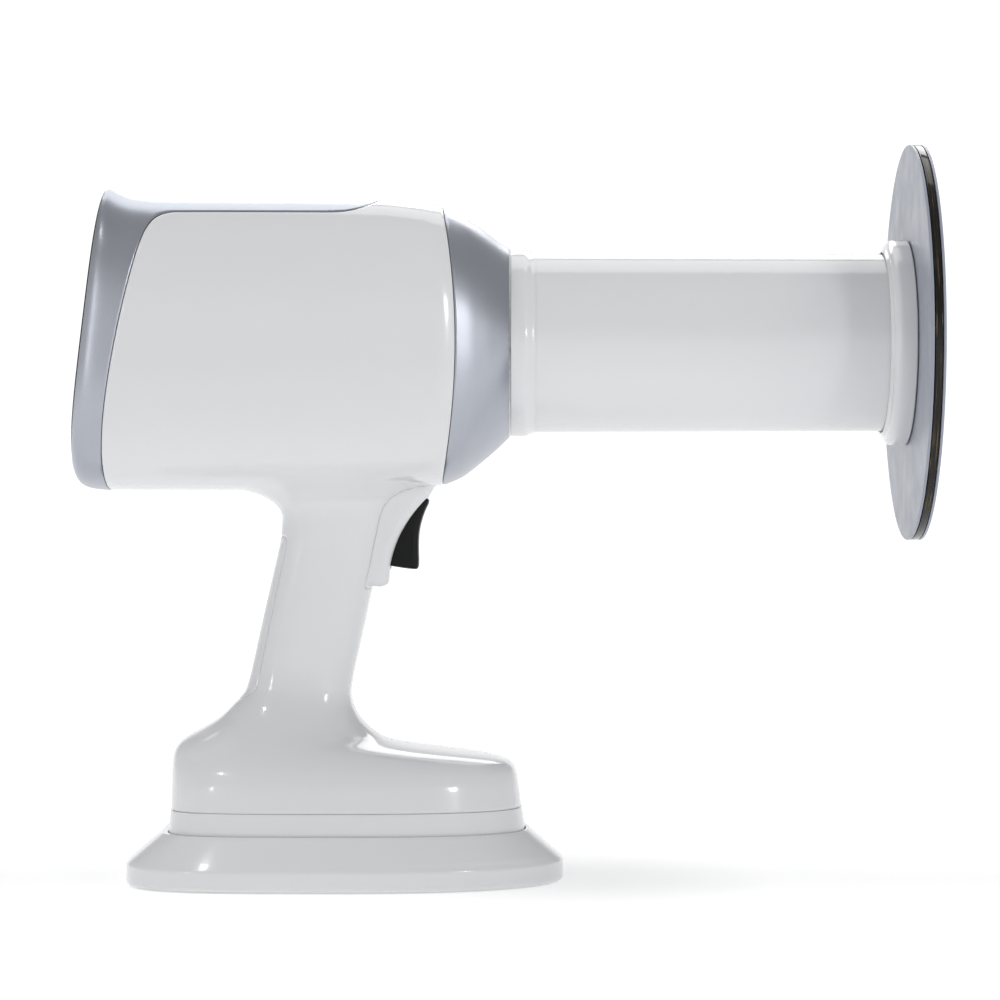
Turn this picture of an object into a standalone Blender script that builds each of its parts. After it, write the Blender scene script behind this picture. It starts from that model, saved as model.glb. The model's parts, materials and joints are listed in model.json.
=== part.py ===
"""Hand-held dental X-ray unit with backscatter shield, standing in its charging cradle.

Metres, +Z up. The origin is the centre of the cradle's underside, +X is the beam
direction and +Y is the operator's left. The handset lifts straight up out of the cradle.
"""

import math

import bmesh
import bpy
import numpy as np
from mathutils import Matrix

NAME = "dental_xray_handset"
GAP = 0.0003          # clearance between pieces that touch
HALF_GAP = GAP / 2
WALL = 0.0025         # moulded wall thickness
RING_POINTS = 24      # points round a lofted section
TURN_STEPS = 36       # steps round a turned piece
SHIELD_STEPS = 48     # steps round the shield disc

# Beam line: everything turned lies on this axis, along +X
AXIS_Z = 0.2044
TUBE_START = 0.0628
TUBE_END = 0.2181
TUBE_RADIUS_REAR = 0.0341
TUBE_RADIUS_FRONT = 0.0334
TUBE_WALL = 0.0025
LINER_RADIUS = 0.0308
LINER_WALL = 0.0010
BASE_RING_RADIUS = 0.0357
BASE_RING_END = 0.0717

# Backscatter shield: 150 mm disc on a hub that slides along the tube
SHIELD_RADIUS = 0.0750
SHIELD_REAR = 0.2130
SHIELD_FRONT = 0.2183
SHIELD_SKIN = 0.0010
HUB_START = 0.2032
HUB_RADIUS = 0.0390
HUB_BORE = 0.0345
SPIGOT_RADIUS = 0.0362
SHIELD_RING_X = 0.2088
SHIELD_RING_WIDTH = 0.0028

# Head sections: x where the section crosses the beam axis height, forward lean and forward
# bow of the section, top, bottom, half width, squareness of the superellipse
HEAD_STATIONS = (
    (-0.0962, 0.120, 0.0000, 0.2630, 0.1575, 0.0448, 3.4),
    (-0.0950, 0.120, 0.0000, 0.2642, 0.1530, 0.0460, 3.4),
    (-0.0927, 0.120, 0.0000, 0.2633, 0.1502, 0.0470, 3.4),
    (-0.0892, 0.118, 0.0000, 0.2614, 0.1489, 0.0476, 3.4),
    (-0.0842, 0.110, 0.0000, 0.2598, 0.1484, 0.0480, 3.4),
    (-0.0755, 0.100, 0.0000, 0.2589, 0.1482, 0.0482, 3.4),
    (-0.0450, 0.050, 0.0000, 0.2587, 0.1482, 0.0485, 3.4),
    (-0.0050, 0.000, -0.0020, 0.2584, 0.1482, 0.0488, 3.4),
    (0.0200, 0.000, -0.0040, 0.2579, 0.1486, 0.0486, 3.4),
    (0.0350, 0.000, -0.0049, 0.2564, 0.1496, 0.0482, 3.3),
    (0.0385, 0.000, -0.0051, 0.2560, 0.1498, 0.0474, 3.2),
    (0.0418, 0.000, -0.0053, 0.2557, 0.1500, 0.0460, 3.2),
    (0.0480, 0.000, -0.0038, 0.2521, 0.1532, 0.0435, 2.9),
    (0.0540, 0.000, -0.0024, 0.2474, 0.1590, 0.0406, 2.5),
    (0.0590, 0.000, -0.0010, 0.2426, 0.1645, 0.0378, 2.2),
    (0.0622, 0.000, 0.0000, 0.2401, 0.1687, 0.0357, 2.0),
)
HEAD_REAR = HEAD_STATIONS[0][0]
FRONT_SEAM = 0.0418
HEAD_FRONT = 0.0622
PANEL_LEAN = 0.120
PANEL_TILT = math.atan(PANEL_LEAN)
PANEL_LIP = 0.0008
PANEL_DEPTH = 0.0030
BEZEL_START = 0.0011

# Rear seam between bezel and side shells, in side view
SEAM_FOOT_X = -0.0887
SEAM_FOOT_Z = 0.158
SEAM_RISE = 0.080
SEAM_SWEEP = 0.0140
SEAM_POWER = 1.6

# Top cover tongue of the bezel, in plan
TONGUE_HALF_WIDTH = 0.0365
TONGUE_TIP = 0.0160
TONGUE_NOSE = 0.0245
TONGUE_FLARE_START = -0.058
TONGUE_FLARE_END = -0.100
TONGUE_FLARE = 36.0

# Grip and foot sections: height, rear, front, half width, squareness rear, squareness front
GRIP_STATIONS = (
    (0.1540, -0.0420, 0.0270, 0.0300, 2.8, 2.8),
    (0.1483, -0.0335, 0.0205, 0.0230, 2.9, 2.9),
    (0.1455, -0.0291, 0.0182, 0.0200, 3.0, 3.0),
    (0.1415, -0.0253, 0.0166, 0.0181, 3.0, 3.0),
    (0.1380, -0.0243, 0.0157, 0.0172, 3.0, 3.0),
    (0.1290, -0.0250, 0.0139, 0.0170, 3.0, 3.0),
    (0.1030, -0.0310, 0.0082, 0.0170, 3.0, 3.0),
    (0.0790, -0.0363, 0.0028, 0.0170, 2.9, 2.9),
    (0.0720, -0.0383, 0.0016, 0.0176, 2.8, 2.8),
    (0.0670, -0.0430, 0.0024, 0.0190, 2.7, 2.7),
    (0.0620, -0.0480, 0.0048, 0.0214, 2.5, 2.6),
    (0.0580, -0.0550, 0.0087, 0.0236, 2.6, 2.6),
    (0.0552, -0.0605, 0.0122, 0.0256, 2.9, 2.6),
    (0.0528, -0.0634, 0.0170, 0.0276, 3.3, 2.6),
    (0.0505, -0.0646, 0.0360, 0.0302, 3.7, 2.6),
    (0.0482, -0.0650, 0.0548, 0.0322, 4.0, 2.6),
    (0.0462, -0.0651, 0.0614, 0.0338, 4.2, 2.6),
    (0.0432, -0.0652, 0.0641, 0.0358, 4.3, 2.6),
    (0.0385, -0.0652, 0.0651, 0.0376, 4.4, 2.6),
    (0.0286, -0.0654, 0.0664, 0.0388, 4.4, 2.6),
)
SHELL_FOOT_Z = GRIP_STATIONS[-1][0]
GRIP_KNEE_Z = 0.0740  # where the grip starts to widen into the foot

# Foot base: the tray that closes the foot and drops into the cradle
BASE_STATIONS = (
    (SHELL_FOOT_Z - GAP, -0.0659, 0.0669, 0.0393, 4.4, 2.6),
    (0.0200, -0.0661, 0.0676, 0.0395, 4.4, 2.6),
    (0.0130, -0.0658, 0.0672, 0.0391, 4.4, 2.6),
    (0.0103, -0.0644, 0.0658, 0.0377, 4.4, 2.6),
)
BASE_FLOOR = 0.0125

# Cradle sections, same columns, from the rim down
CRADLE_STATIONS = (
    (0.0202, -0.0690, 0.0694, 0.0410, 4.3, 2.6),
    (0.0196, -0.0697, 0.0701, 0.0415, 4.3, 2.6),
    (0.0110, -0.0799, 0.0799, 0.0463, 3.8, 2.3),
    (0.0090, -0.0817, 0.0817, 0.0474, 3.7, 2.2),
    (0.0068, -0.0824, 0.0824, 0.0480, 3.7, 2.2),
    (0.0014, -0.0824, 0.0824, 0.0480, 3.7, 2.2),
    (0.0008, -0.0818, 0.0818, 0.0475, 3.7, 2.2),
)
WELL_FLOOR = 0.0100
CRADLE_CEILING = 0.0076
CRADLE_PLATE_TOP = 0.0032
CRADLE_PLATE_THICKNESS = 0.0014
PAD_THICKNESS = 0.0015
PAD_SIZE = (0.110, 0.060)
CRADLE_SCREWS = ((-0.0665, -0.029), (-0.0665, 0.029), (0.0655, -0.021), (0.0655, 0.021))
CONTACT_X = (-0.012, 0.012)
CONTACT_RADIUS = 0.0016

# Trigger, its housing and the switch behind it
PIVOT = (0.0218, 0.1424)
PIN_RADIUS = 0.00125
TRIGGER_HALF_WIDTH = 0.0066
HOUSING_HALF_WIDTH = 0.0120
SLOT_HALF_WIDTH = TRIGGER_HALF_WIDTH + 0.0004
PLUNGER_Z = 0.1335
SPRING_Z = 0.1235
SPRING_TURNS = 5
SPRING_POINTS = 8     # points to each turn
SPRING_RADIUS = 0.0022
SPRING_WIRE = 0.00035
SPRING_REAR = 0.0014
SPRING_FRONT = 0.0139
STRAP_THICKNESS = 0.0012

# Screws that join the side shells: (x, z); they enter from +Y
SHELL_SCREWS = ((-0.0120, 0.1060), (-0.0175, 0.0810), (0.0480, 0.0370))
SHELL_BOSS = 0.0034
SCREW_RADIUS = 0.0012
SCREW_HEAD = 0.0026
SCREW_STEPS = 10
BASE_SCREWS = ((-0.0560, -0.023), (-0.0560, 0.023), (0.0520, -0.018), (0.0520, 0.018))
BASE_BOSS = 0.0030

CELL_RADIUS = 0.0092
CELL_LENGTH = 0.065
CELL_X = (-0.034, -0.014, 0.006)
CELL_Z = 0.0232

# Rear panel layout in the tilted panel frame: (y, z) from the beam axis height
WINDOW_SIZE = (0.050, 0.038)
WINDOW_Z = 0.024
KEY_RADIUS = 0.0058
KEY_PROUD = 0.0008
KEYS = {"power_key": (0.0, -0.028), "up_key": (0.0, -0.009), "minus_key": (0.022, -0.017),
        "plus_key": (-0.022, -0.017)}

for old in list(bpy.data.objects):
    bpy.data.objects.remove(old, do_unlink=True)

PARTS = bpy.data.collections.new(NAME)
CUTTERS = bpy.data.collections.new("cutters")
for group in (PARTS, CUTTERS):
    bpy.context.scene.collection.children.link(group)


# ---------------------------------------------------------------- materials

def material(name, colour, roughness, metallic=0.0):
    """A Principled material with one colour."""
    made = bpy.data.materials.new(name)
    made.use_nodes = True
    shader = made.node_tree.nodes["Principled BSDF"]
    shader.inputs["Base Color"].default_value = (*colour, 1.0)
    shader.inputs["Roughness"].default_value = roughness
    shader.inputs["Metallic"].default_value = metallic
    made.diffuse_color = (*colour, 1.0)
    return made


WHITE = material("white_gloss_plastic", (0.80, 0.80, 0.79), 0.15)
SILVER = material("silver_paint", (0.36, 0.38, 0.41), 0.35, 0.6)
BLACK = material("black_plastic", (0.01, 0.01, 0.01), 0.35)
PANEL = material("dark_panel", (0.02, 0.022, 0.026), 0.2)
KEY = material("key_rubber", (0.35, 0.37, 0.40), 0.6)
GLASS = material("display_glass", (0.02, 0.03, 0.04), 0.05)
GREY = material("shield_skin", (0.30, 0.31, 0.33), 0.45)
LEAD_ACRYLIC = material("lead_acrylic", (0.05, 0.04, 0.02), 0.08)
RUBBER = material("rubber", (0.03, 0.03, 0.03), 0.8)
LEAD = material("lead", (0.20, 0.20, 0.22), 0.6, 0.8)
ALUMINIUM = material("aluminium", (0.70, 0.71, 0.72), 0.35, 1.0)
STEEL = material("steel", (0.55, 0.56, 0.58), 0.3, 1.0)
BRASS = material("gold_contact", (0.75, 0.55, 0.25), 0.3, 1.0)
BOARD = material("circuit_board", (0.02, 0.15, 0.06), 0.5)
CELL = material("battery_wrap", (0.05, 0.15, 0.35), 0.4)
TUBE_GLASS = material("tube_glass", (0.60, 0.65, 0.68), 0.05)
LIGHT = material("status_light", (0.20, 0.70, 0.30), 0.2)


# ---------------------------------------------------------------- modelling helpers

def add(name, mesh, surface=None, at=(0, 0, 0), turn=(0, 0, 0), smooth=True):
    """Put a mesh in the parts collection, or among the cutters if it has no material."""
    made = bpy.data.objects.new(name, mesh)
    made.location = at
    made.rotation_euler = turn
    if surface:
        PARTS.objects.link(made)
        mesh.materials.append(surface)
    else:
        CUTTERS.objects.link(made)
        made.hide_render = True
        made.display_type = "WIRE"
    if smooth:
        mesh.shade_smooth()
        mesh.set_sharp_from_angle(angle=math.radians(35))
    return made


def mesh_from(name, bm):
    """Turn a bmesh into mesh data."""
    bmesh.ops.recalc_face_normals(bm, faces=bm.faces)
    mesh = bpy.data.meshes.new(name)
    bm.to_mesh(mesh)
    bm.free()
    return mesh


def box(name, low, high, surface=None, bevel=0.0, turn=(0, 0, 0), pivot=(0, 0, 0)):
    """A box between two corners given relative to its pivot."""
    bm = bmesh.new()
    bmesh.ops.create_cube(bm, size=1.0)
    size = [b - a for a, b in zip(low, high)]
    centre = [(a + b) / 2 for a, b in zip(low, high)]
    bmesh.ops.scale(bm, vec=size, verts=bm.verts)
    bmesh.ops.translate(bm, vec=centre, verts=bm.verts)
    made = add(name, mesh_from(name, bm), surface, pivot, turn, smooth=False)
    if bevel:
        rounded = made.modifiers.new("edges", "BEVEL")
        rounded.width = bevel
        rounded.segments = 2
        rounded.limit_method = "ANGLE"
    return made


def rod(name, radius, start, end, surface=None, sides=20):
    """A plain cylinder from one point to another."""
    start = np.array(start, float)
    end = np.array(end, float)
    run = end - start
    length = float(np.linalg.norm(run))
    bm = bmesh.new()
    bmesh.ops.create_cone(bm, cap_ends=True, segments=sides, radius1=radius,
                          radius2=radius, depth=length,
                          matrix=Matrix.Rotation(math.pi / sides, 4, "Z"))
    tilt = math.acos(run[2] / length)
    heading = math.atan2(run[1], run[0])
    middle = (start + end) / 2
    return add(name, mesh_from(name, bm), surface, middle, (0, tilt, heading))


def turned(name, profile, surface=None, steps=TURN_STEPS, at=(0, 0, AXIS_Z), closed=True):
    """A turned piece round the beam axis; profile holds (x, radius), outer side first."""
    bm = bmesh.new()
    points = [bm.verts.new((radius, 0, x)) for x, radius in profile]
    for first, second in zip(points, points[1:]):
        bm.edges.new((first, second))
    if closed:
        bm.edges.new((points[-1], points[0]))
    mesh = bpy.data.meshes.new(name)
    bm.to_mesh(mesh)
    bm.free()
    made = add(name, mesh, surface, at, (0, math.pi / 2, 0), smooth=False)
    screw = made.modifiers.new("turn", "SCREW")
    screw.steps = steps
    screw.render_steps = steps
    screw.use_merge_vertices = True
    screw.merge_threshold = 0.00001
    screw.use_smooth_shade = True
    return made


def washer(x_low, x_high, outer, inner):
    """Profile of a plain ring, for turned()."""
    return ((x_high, outer), (x_low, outer), (x_low, inner), (x_high, inner))


def slab(name, outline, low, high, plane="XZ", surface=None, bevel=0.0):
    """A flat outline in the XZ or XY plane, extruded between two levels."""
    curve = bpy.data.curves.new(name, "CURVE")
    curve.dimensions = "2D"
    curve.fill_mode = "BOTH"
    curve.extrude = (high - low) / 2
    spline = curve.splines.new("POLY")
    spline.points.add(len(outline) - 1)
    for point, (u, v) in zip(spline.points, outline):
        point.co = (u, v, 0, 1)
    spline.use_cyclic_u = True
    source = bpy.data.objects.new(name + "_curve", curve)
    CUTTERS.objects.link(source)
    graph = bpy.context.evaluated_depsgraph_get()
    mesh = bpy.data.meshes.new_from_object(source.evaluated_get(graph))
    bpy.data.objects.remove(source, do_unlink=True)
    bm = bmesh.new()
    bm.from_mesh(mesh)
    bmesh.ops.remove_doubles(bm, verts=bm.verts, dist=0.00001)
    bmesh.ops.dissolve_limit(bm, angle_limit=0.001, verts=bm.verts, edges=bm.edges)
    if plane == "XZ":
        turn = (math.pi / 2, 0, 0)
        at = (0, (low + high) / 2, 0)
    else:
        turn = (0, 0, 0)
        at = (0, 0, (low + high) / 2)
    made = add(name, mesh_from(name, bm), surface, at, turn)
    if bevel:
        rounded = made.modifiers.new("edges", "BEVEL")
        rounded.width = bevel
        rounded.segments = 2
        rounded.limit_method = "ANGLE"
        rounded.angle_limit = math.radians(50)
    return made


def loft(name, rings, surface=None):
    """A closed skin through rings that all have the same number of points."""
    bm = bmesh.new()
    rows = [[bm.verts.new(point) for point in ring] for ring in rings]
    count = len(rows[0])
    for row, following in zip(rows, rows[1:]):
        for k in range(count):
            j = (k + 1) % count
            bm.faces.new((row[k], row[j], following[j], following[k]))
    for row in (rows[0], rows[-1]):
        hub = bm.verts.new(np.mean([vert.co[:] for vert in row], axis=0))
        for k in range(count):
            bm.faces.new((hub, row[k], row[(k + 1) % count]))
    bmesh.ops.triangulate(bm, faces=bm.faces)
    return add(name, mesh_from(name, bm), surface)


def cut(target, cutter, operation="DIFFERENCE"):
    """Boolean modifier with the exact solver."""
    step = target.modifiers.new(operation.lower(), "BOOLEAN")
    step.operation = operation
    step.solver = "EXACT"
    step.object = cutter


# ---------------------------------------------------------------- sections

def between(table, value, column, key=0):
    """One column of a station table, interpolated at a value of its key column."""
    rows = sorted(table)
    return float(np.interp(value, [row[key] for row in rows], [row[column] for row in rows]))


def superellipse(angle, power_positive, power_negative):
    """Unit superellipse; the squareness may differ between its two ends."""
    c = math.cos(angle)
    s = math.sin(angle)
    power = power_positive if c >= 0 else power_negative
    return (math.copysign(abs(c) ** (2 / power), c), math.copysign(abs(s) ** (2 / power), s))


def head_ring(x, inset=0.0):
    """One section of the head, in the YZ plane, leaning and bowed forward."""
    lean, bow, top, bottom, half_width, power = (
        between(HEAD_STATIONS, x, column) for column in range(1, 7))
    middle = (top + bottom) / 2
    half_height = (top - bottom) / 2
    points = []
    for k in range(RING_POINTS):
        across, up = superellipse(2 * math.pi * k / RING_POINTS, power, power)
        y = (half_width - inset) * across
        z = middle + (half_height - inset) * up
        points.append((x + lean * (z - AXIS_Z) + bow * up * up, y, z))
    return points


def head_solid(name, start, end, inset=0.0, surface=None):
    """The head between two stations."""
    inner = [row[0] for row in HEAD_STATIONS if start + 0.0002 < row[0] < end - 0.0002]
    return loft(name, [head_ring(x, inset) for x in (start, *inner, end)], surface)


def flat_ring(row, inset=0.0, z=None):
    """One level section of the grip, foot or cradle."""
    height, rear, front, half_width, power_rear, power_front = row
    centre = (rear + front) / 2
    half_depth = (front - rear) / 2 - inset
    points = []
    for k in range(RING_POINTS):
        along, across = superellipse(2 * math.pi * k / RING_POINTS, power_front, power_rear)
        points.append((centre + half_depth * along, (half_width - inset) * across,
                       height if z is None else z))
    return points


def station(table, z):
    """A row of a station table, interpolated at a height."""
    return (z, *(between(table, z, column) for column in range(1, 6)))


def level_solid(name, table, low, high, inset=0.0, surface=None):
    """A table's stations between two heights, as a solid; ends outside it are straight."""
    inner = [row[0] for row in table if low + 0.0002 < row[0] < high - 0.0002]
    rings = [flat_ring(station(table, z), inset) for z in (high, *inner, low)]
    return loft(name, rings, surface)


def foot_drop(z):
    """Depth of the hollow under the outer skin: a wall over the foot, nothing up the grip."""
    return WALL * min(1.0, max(0.0, (GRIP_KNEE_Z - z) / 0.010))


def seam_x(z, shift=0.0):
    """Rear seam between bezel and side shells at a height."""
    rise = max(0.0, (z - SEAM_FOOT_Z) / SEAM_RISE)
    return SEAM_FOOT_X + SEAM_SWEEP * rise ** SEAM_POWER + shift


def bezel_region(name, grow):
    """Space that belongs to the bezel: everything behind the seam, and the top tongue."""
    heights = [0.140, SEAM_FOOT_Z] + [0.170 + 0.012 * k for k in range(9)]
    side = [(-0.130, 0.140)] + [(seam_x(z, grow), z) for z in heights] + [(-0.130, heights[-1])]
    region = slab(name, side, -0.060, 0.060, "XZ")
    half = []
    for k in range(7):
        x = TONGUE_FLARE_END + k * (TONGUE_FLARE_START - TONGUE_FLARE_END) / 6
        flare = TONGUE_FLARE * (TONGUE_FLARE_START - x) ** 2
        half.append((x, TONGUE_HALF_WIDTH + min(flare, 0.0080)))
    nose_start = TONGUE_TIP - TONGUE_NOSE
    for k in range(9):
        turn = math.pi / 2 * k / 9
        half.append((nose_start + TONGUE_NOSE * math.sin(turn), TONGUE_HALF_WIDTH * math.cos(turn)))
    half = [(x + (grow if x > nose_start else 0.0), y + grow) for x, y in half]
    plan = half + [(TONGUE_TIP + grow, 0.0)] + [(x, -y) for x, y in reversed(half)]
    tongue = slab(name + "_tongue", plan, 0.2280, 0.2900, "XY")
    cut(region, tongue, "UNION")
    return region


# ---------------------------------------------------------------- shared cutters

head_hollow = head_solid("head_hollow", HEAD_REAR - 0.004, FRONT_SEAM + 0.006, WALL)
grip_outer = level_solid("grip_outer", GRIP_STATIONS, SHELL_FOOT_Z, 0.1540)
hollow_heights = (0.1600, *(row[0] for row in GRIP_STATIONS[1:-1]), 0.0265)
grip_hollow = loft("grip_hollow", [flat_ring(station(GRIP_STATIONS, z), WALL, z - foot_drop(z))
                                   for z in hollow_heights])
bezel_space = bezel_region("bezel_space", 0.0)
shell_clear = bezel_region("shell_clear", GAP)

STRAP_OUTLINE = ((-0.060, 0.1308), (-0.0232, 0.1308), (-0.0220, 0.1292), (-0.0300, 0.0914),
                 (-0.0334, 0.0737), (-0.0366, 0.0712), (-0.0410, 0.0690), (-0.060, 0.0690))


def grown(outline, distance):
    """An outline moved outwards from its middle, corner by corner, by about a distance."""
    cx = sum(u for u, v in outline) / len(outline)
    cz = sum(v for u, v in outline) / len(outline)
    moved = []
    for u, v in outline:
        moved.append((u + math.copysign(distance, u - cx), v + math.copysign(distance, v - cz)))
    return moved


strap_space = slab("strap_space", STRAP_OUTLINE, -0.030, 0.030)
strap_core = level_solid("strap_core", GRIP_STATIONS, 0.0590, 0.1430, STRAP_THICKNESS)
strap_recess = slab("strap_recess", grown(STRAP_OUTLINE, GAP), -0.030, 0.030)
recess_core = level_solid("recess_core", GRIP_STATIONS, 0.0590, 0.1430, STRAP_THICKNESS + GAP)
cut(strap_recess, recess_core)
trigger_window = box("trigger_window", (0.0, -SLOT_HALF_WIDTH, 0.1185),
                     (0.030, SLOT_HALF_WIDTH, 0.1458))


# ---------------------------------------------------------------- side shells

def shell_bosses(shell, cutter_name):
    """Screw bosses across the shells, and those that take the foot base screws."""
    for number, (x, z) in enumerate(SHELL_SCREWS, 1):
        reach = 0.0158 if z > 0.060 else 0.0330
        boss = rod(f"{cutter_name}_boss_{number}", SHELL_BOSS, (x, -reach, z), (x, reach, z))
        cut(shell, boss, "UNION")
        bore = rod(f"{cutter_name}_bore_{number}", SCREW_RADIUS + GAP, (x, -0.0100, z),
                   (x, 0.0200, z), sides=12)
        cut(shell, bore)
        sink = rod(f"{cutter_name}_sink_{number}", SCREW_HEAD + GAP, (x, 0.0080, z),
                   (x, 0.0500, z), sides=16)
        cut(shell, sink)
    for number, (x, y) in enumerate(BASE_SCREWS, 1):
        boss = rod(f"{cutter_name}_post_{number}", BASE_BOSS, (x, y, SHELL_FOOT_Z + 0.0004),
                   (x, y, 0.0405 if x > 0 else 0.0440), sides=16)
        cut(shell, boss, "UNION")
        hole = rod(f"{cutter_name}_hole_{number}", SCREW_RADIUS + GAP, (x, y, 0.0200),
                   (x, y, 0.0372), sides=12)
        cut(shell, hole)


def side_shell(name, side):
    """One half of head, grip and foot; side is +1 for the operator's left."""
    shell = head_solid(name, HEAD_REAR, FRONT_SEAM, 0.0, WHITE)
    cut(shell, grip_outer, "UNION")
    cut(shell, head_hollow)
    cut(shell, grip_hollow)
    shell_bosses(shell, name)
    cut(shell, shell_clear)
    cut(shell, strap_recess)
    cut(shell, trigger_window)
    near = HALF_GAP * side
    far = 0.090 * side
    half = box(name + "_half", (-0.2, min(near, far), -0.01), (0.2, max(near, far), 0.3))
    cut(shell, half, "INTERSECT")
    return shell


left_shell = side_shell("left_body_shell", 1)
right_shell = side_shell("right_body_shell", -1)


# ---------------------------------------------------------------- head: bezel, panel, cone

bezel = head_solid("rear_bezel", HEAD_REAR + BEZEL_START, FRONT_SEAM, 0.0, SILVER)
cut(bezel, head_hollow)
cut(bezel, bezel_space, "INTERSECT")

cone = head_solid("front_cone", FRONT_SEAM + GAP, HEAD_FRONT, 0.0, SILVER)
cone_hollow = head_solid("cone_hollow", FRONT_SEAM - 0.004, HEAD_FRONT + 0.004, WALL)
cut(cone, cone_hollow)

panel_rings = (
    head_ring(HEAD_REAR, 0.0006),
    [(x + PANEL_LIP, y, z) for x, y, z in head_ring(HEAD_REAR, 0.0004)],
    [(x + PANEL_LIP, y, z) for x, y, z in head_ring(HEAD_REAR, WALL + 0.0008)],
    [(x + PANEL_DEPTH, y, z) for x, y, z in head_ring(HEAD_REAR, WALL + 0.0008)],
)
panel = loft("control_panel", panel_rings, PANEL)

panel_frame = bpy.data.objects.new("panel_frame", None)
panel_frame.location = (HEAD_REAR, 0, AXIS_Z)
panel_frame.rotation_euler = (0, PANEL_TILT, 0)
PARTS.objects.link(panel_frame)


def on_panel(made):
    """Hang a piece from the tilted panel frame."""
    made.parent = panel_frame
    return made


def panel_box(name, x_low, x_high, size, z, surface=None, bevel=0.0):
    """A box on the panel frame; size is across and up."""
    low = (x_low, -size[0] / 2, z - size[1] / 2)
    high = (x_high, size[0] / 2, z + size[1] / 2)
    return on_panel(box(name, low, high, surface, bevel))


window_hole = panel_box("window_hole", -0.005, 0.010, WINDOW_SIZE, WINDOW_Z)
cut(panel, window_hole)
clear_size = tuple(length - 2 * GAP for length in WINDOW_SIZE)
panel_box("display_window", 0.0003, 0.0018, clear_size, WINDOW_Z, GLASS)
panel_box("display_module", 0.0034, 0.0074, (0.056, 0.044), WINDOW_Z, BOARD, 0.0006)
panel_box("control_board", 0.0056, 0.0072, (0.066, 0.040), -0.0210, BOARD)

for key_name, (y, z) in KEYS.items():
    hole = on_panel(rod(key_name + "_hole", KEY_RADIUS + GAP, (-0.005, y, z), (0.010, y, z),
                        sides=20))
    cut(panel, hole)
    profile = ((0.0046, 0.0), (0.0046, 0.0030), (0.0032, 0.0030), (0.0032, KEY_RADIUS),
               (-0.0003, KEY_RADIUS), (-KEY_PROUD, KEY_RADIUS - 0.0008), (-KEY_PROUD, 0.0))
    key = turned(key_name, profile, KEY, 16, (0, y, z), closed=False)
    on_panel(key)


# ---------------------------------------------------------------- beam tube and generator

turned("tube_base_ring", (
    (BASE_RING_END, 0.0347), (0.0709, 0.0350), (0.0693, 0.0356), (0.0685, BASE_RING_RADIUS),
    (HEAD_FRONT + GAP, BASE_RING_RADIUS), (HEAD_FRONT + GAP, TUBE_RADIUS_REAR + GAP),
    (BASE_RING_END, TUBE_RADIUS_REAR + GAP)), WHITE)
turned("beam_tube", (
    (TUBE_END, TUBE_RADIUS_FRONT - 0.0004), (TUBE_END - 0.0006, TUBE_RADIUS_FRONT),
    (TUBE_START, TUBE_RADIUS_REAR), (TUBE_START, TUBE_RADIUS_REAR - TUBE_WALL),
    (TUBE_END, TUBE_RADIUS_FRONT - TUBE_WALL + 0.0005)), WHITE)
turned("tube_liner", washer(TUBE_START + 0.0010, TUBE_END - 0.0040, LINER_RADIUS,
                            LINER_RADIUS - LINER_WALL), LEAD)
turned("collimator", washer(0.0545, 0.0580, 0.0300, 0.0110), LEAD, 32)
turned("beam_filter", ((0.0540, 0.0), (0.0540, 0.0190), (0.0530, 0.0190), (0.0530, 0.0)),
       ALUMINIUM, 32, closed=False)

tank = box("generator_tank", (-0.030, -0.036, 0.1664), (0.032, 0.036, 0.2424), ALUMINIUM, 0.004)
port = turned("tank_port", ((0.0527, 0.0), (0.0527, 0.0200), (0.020, 0.0200), (0.020, 0.0)),
              None, 32, closed=False)
port_bore = turned("tank_port_bore", ((0.060, 0.0), (0.060, 0.0140), (0.010, 0.0140),
                                      (0.010, 0.0)), None, 32, closed=False)
tank_hollow = box("tank_hollow", (-0.040, -0.032, 0.1704), (0.028, 0.032, 0.2384))
cut(tank, port, "UNION")
cut(tank, tank_hollow)
cut(tank, port_bore)
tube_profile = [(0.0270, 0.0)]
for step in range(1, 5):
    bend = math.pi / 8 * step
    tube_profile.append((0.0170 + 0.0100 * math.cos(bend), 0.0120 * math.sin(bend)))
tube_profile += [(-x, radius) for x, radius in reversed(tube_profile)]
glass = turned("xray_tube", tube_profile, TUBE_GLASS, 16, (0.010, 0, AXIS_Z), closed=False)
glass.rotation_euler = (math.pi / 2, 0, 0)
box("hv_transformer", (-0.027, -0.026, 0.1744), (-0.006, 0.026, 0.2344), STEEL, 0.002)
box("main_board", (-0.0480, -0.036, 0.1624), (-0.0464, 0.036, 0.2384), BOARD)


# ---------------------------------------------------------------- grip: strap and trigger

strap = level_solid("grip_backstrap", GRIP_STATIONS, 0.0590, 0.1430, 0.0, WHITE)
cut(strap, strap_core)
cut(strap, strap_space, "INTERSECT")

HOUSING_OUTLINE = (
    (0.0063, 0.1118), (0.0143, 0.1118), (0.0158, 0.1126), (0.0165, 0.1143), (0.0167, 0.1204),
    (0.0186, 0.1270), (0.0211, 0.1327), (0.0248, 0.1386), (0.0291, 0.1438), (0.0321, 0.1470),
    (0.0333, 0.1500), (0.0359, 0.1538), (0.0063, 0.1538))
housing = slab("trigger_housing", HOUSING_OUTLINE, -HOUSING_HALF_WIDTH, HOUSING_HALF_WIDTH,
               "XZ", WHITE, 0.0012)
grip_clear = level_solid("grip_clear", GRIP_STATIONS, 0.1040, 0.1538, -GAP)
head_clear = head_solid("head_clear", -0.020, 0.0600, -GAP)
housing_slot = slab("housing_slot", (
    (0.0000, 0.1188), (0.0300, 0.1188), (0.0400, 0.1320), (0.0400, 0.1461), (0.0000, 0.1461)),
    -SLOT_HALF_WIDTH, SLOT_HALF_WIDTH)
pin_bore = rod("pin_bore", PIN_RADIUS + 0.0002, (PIVOT[0], -0.020, PIVOT[1]),
               (PIVOT[0], 0.020, PIVOT[1]), sides=16)
cut(housing, grip_clear)
cut(housing, head_clear)
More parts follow.
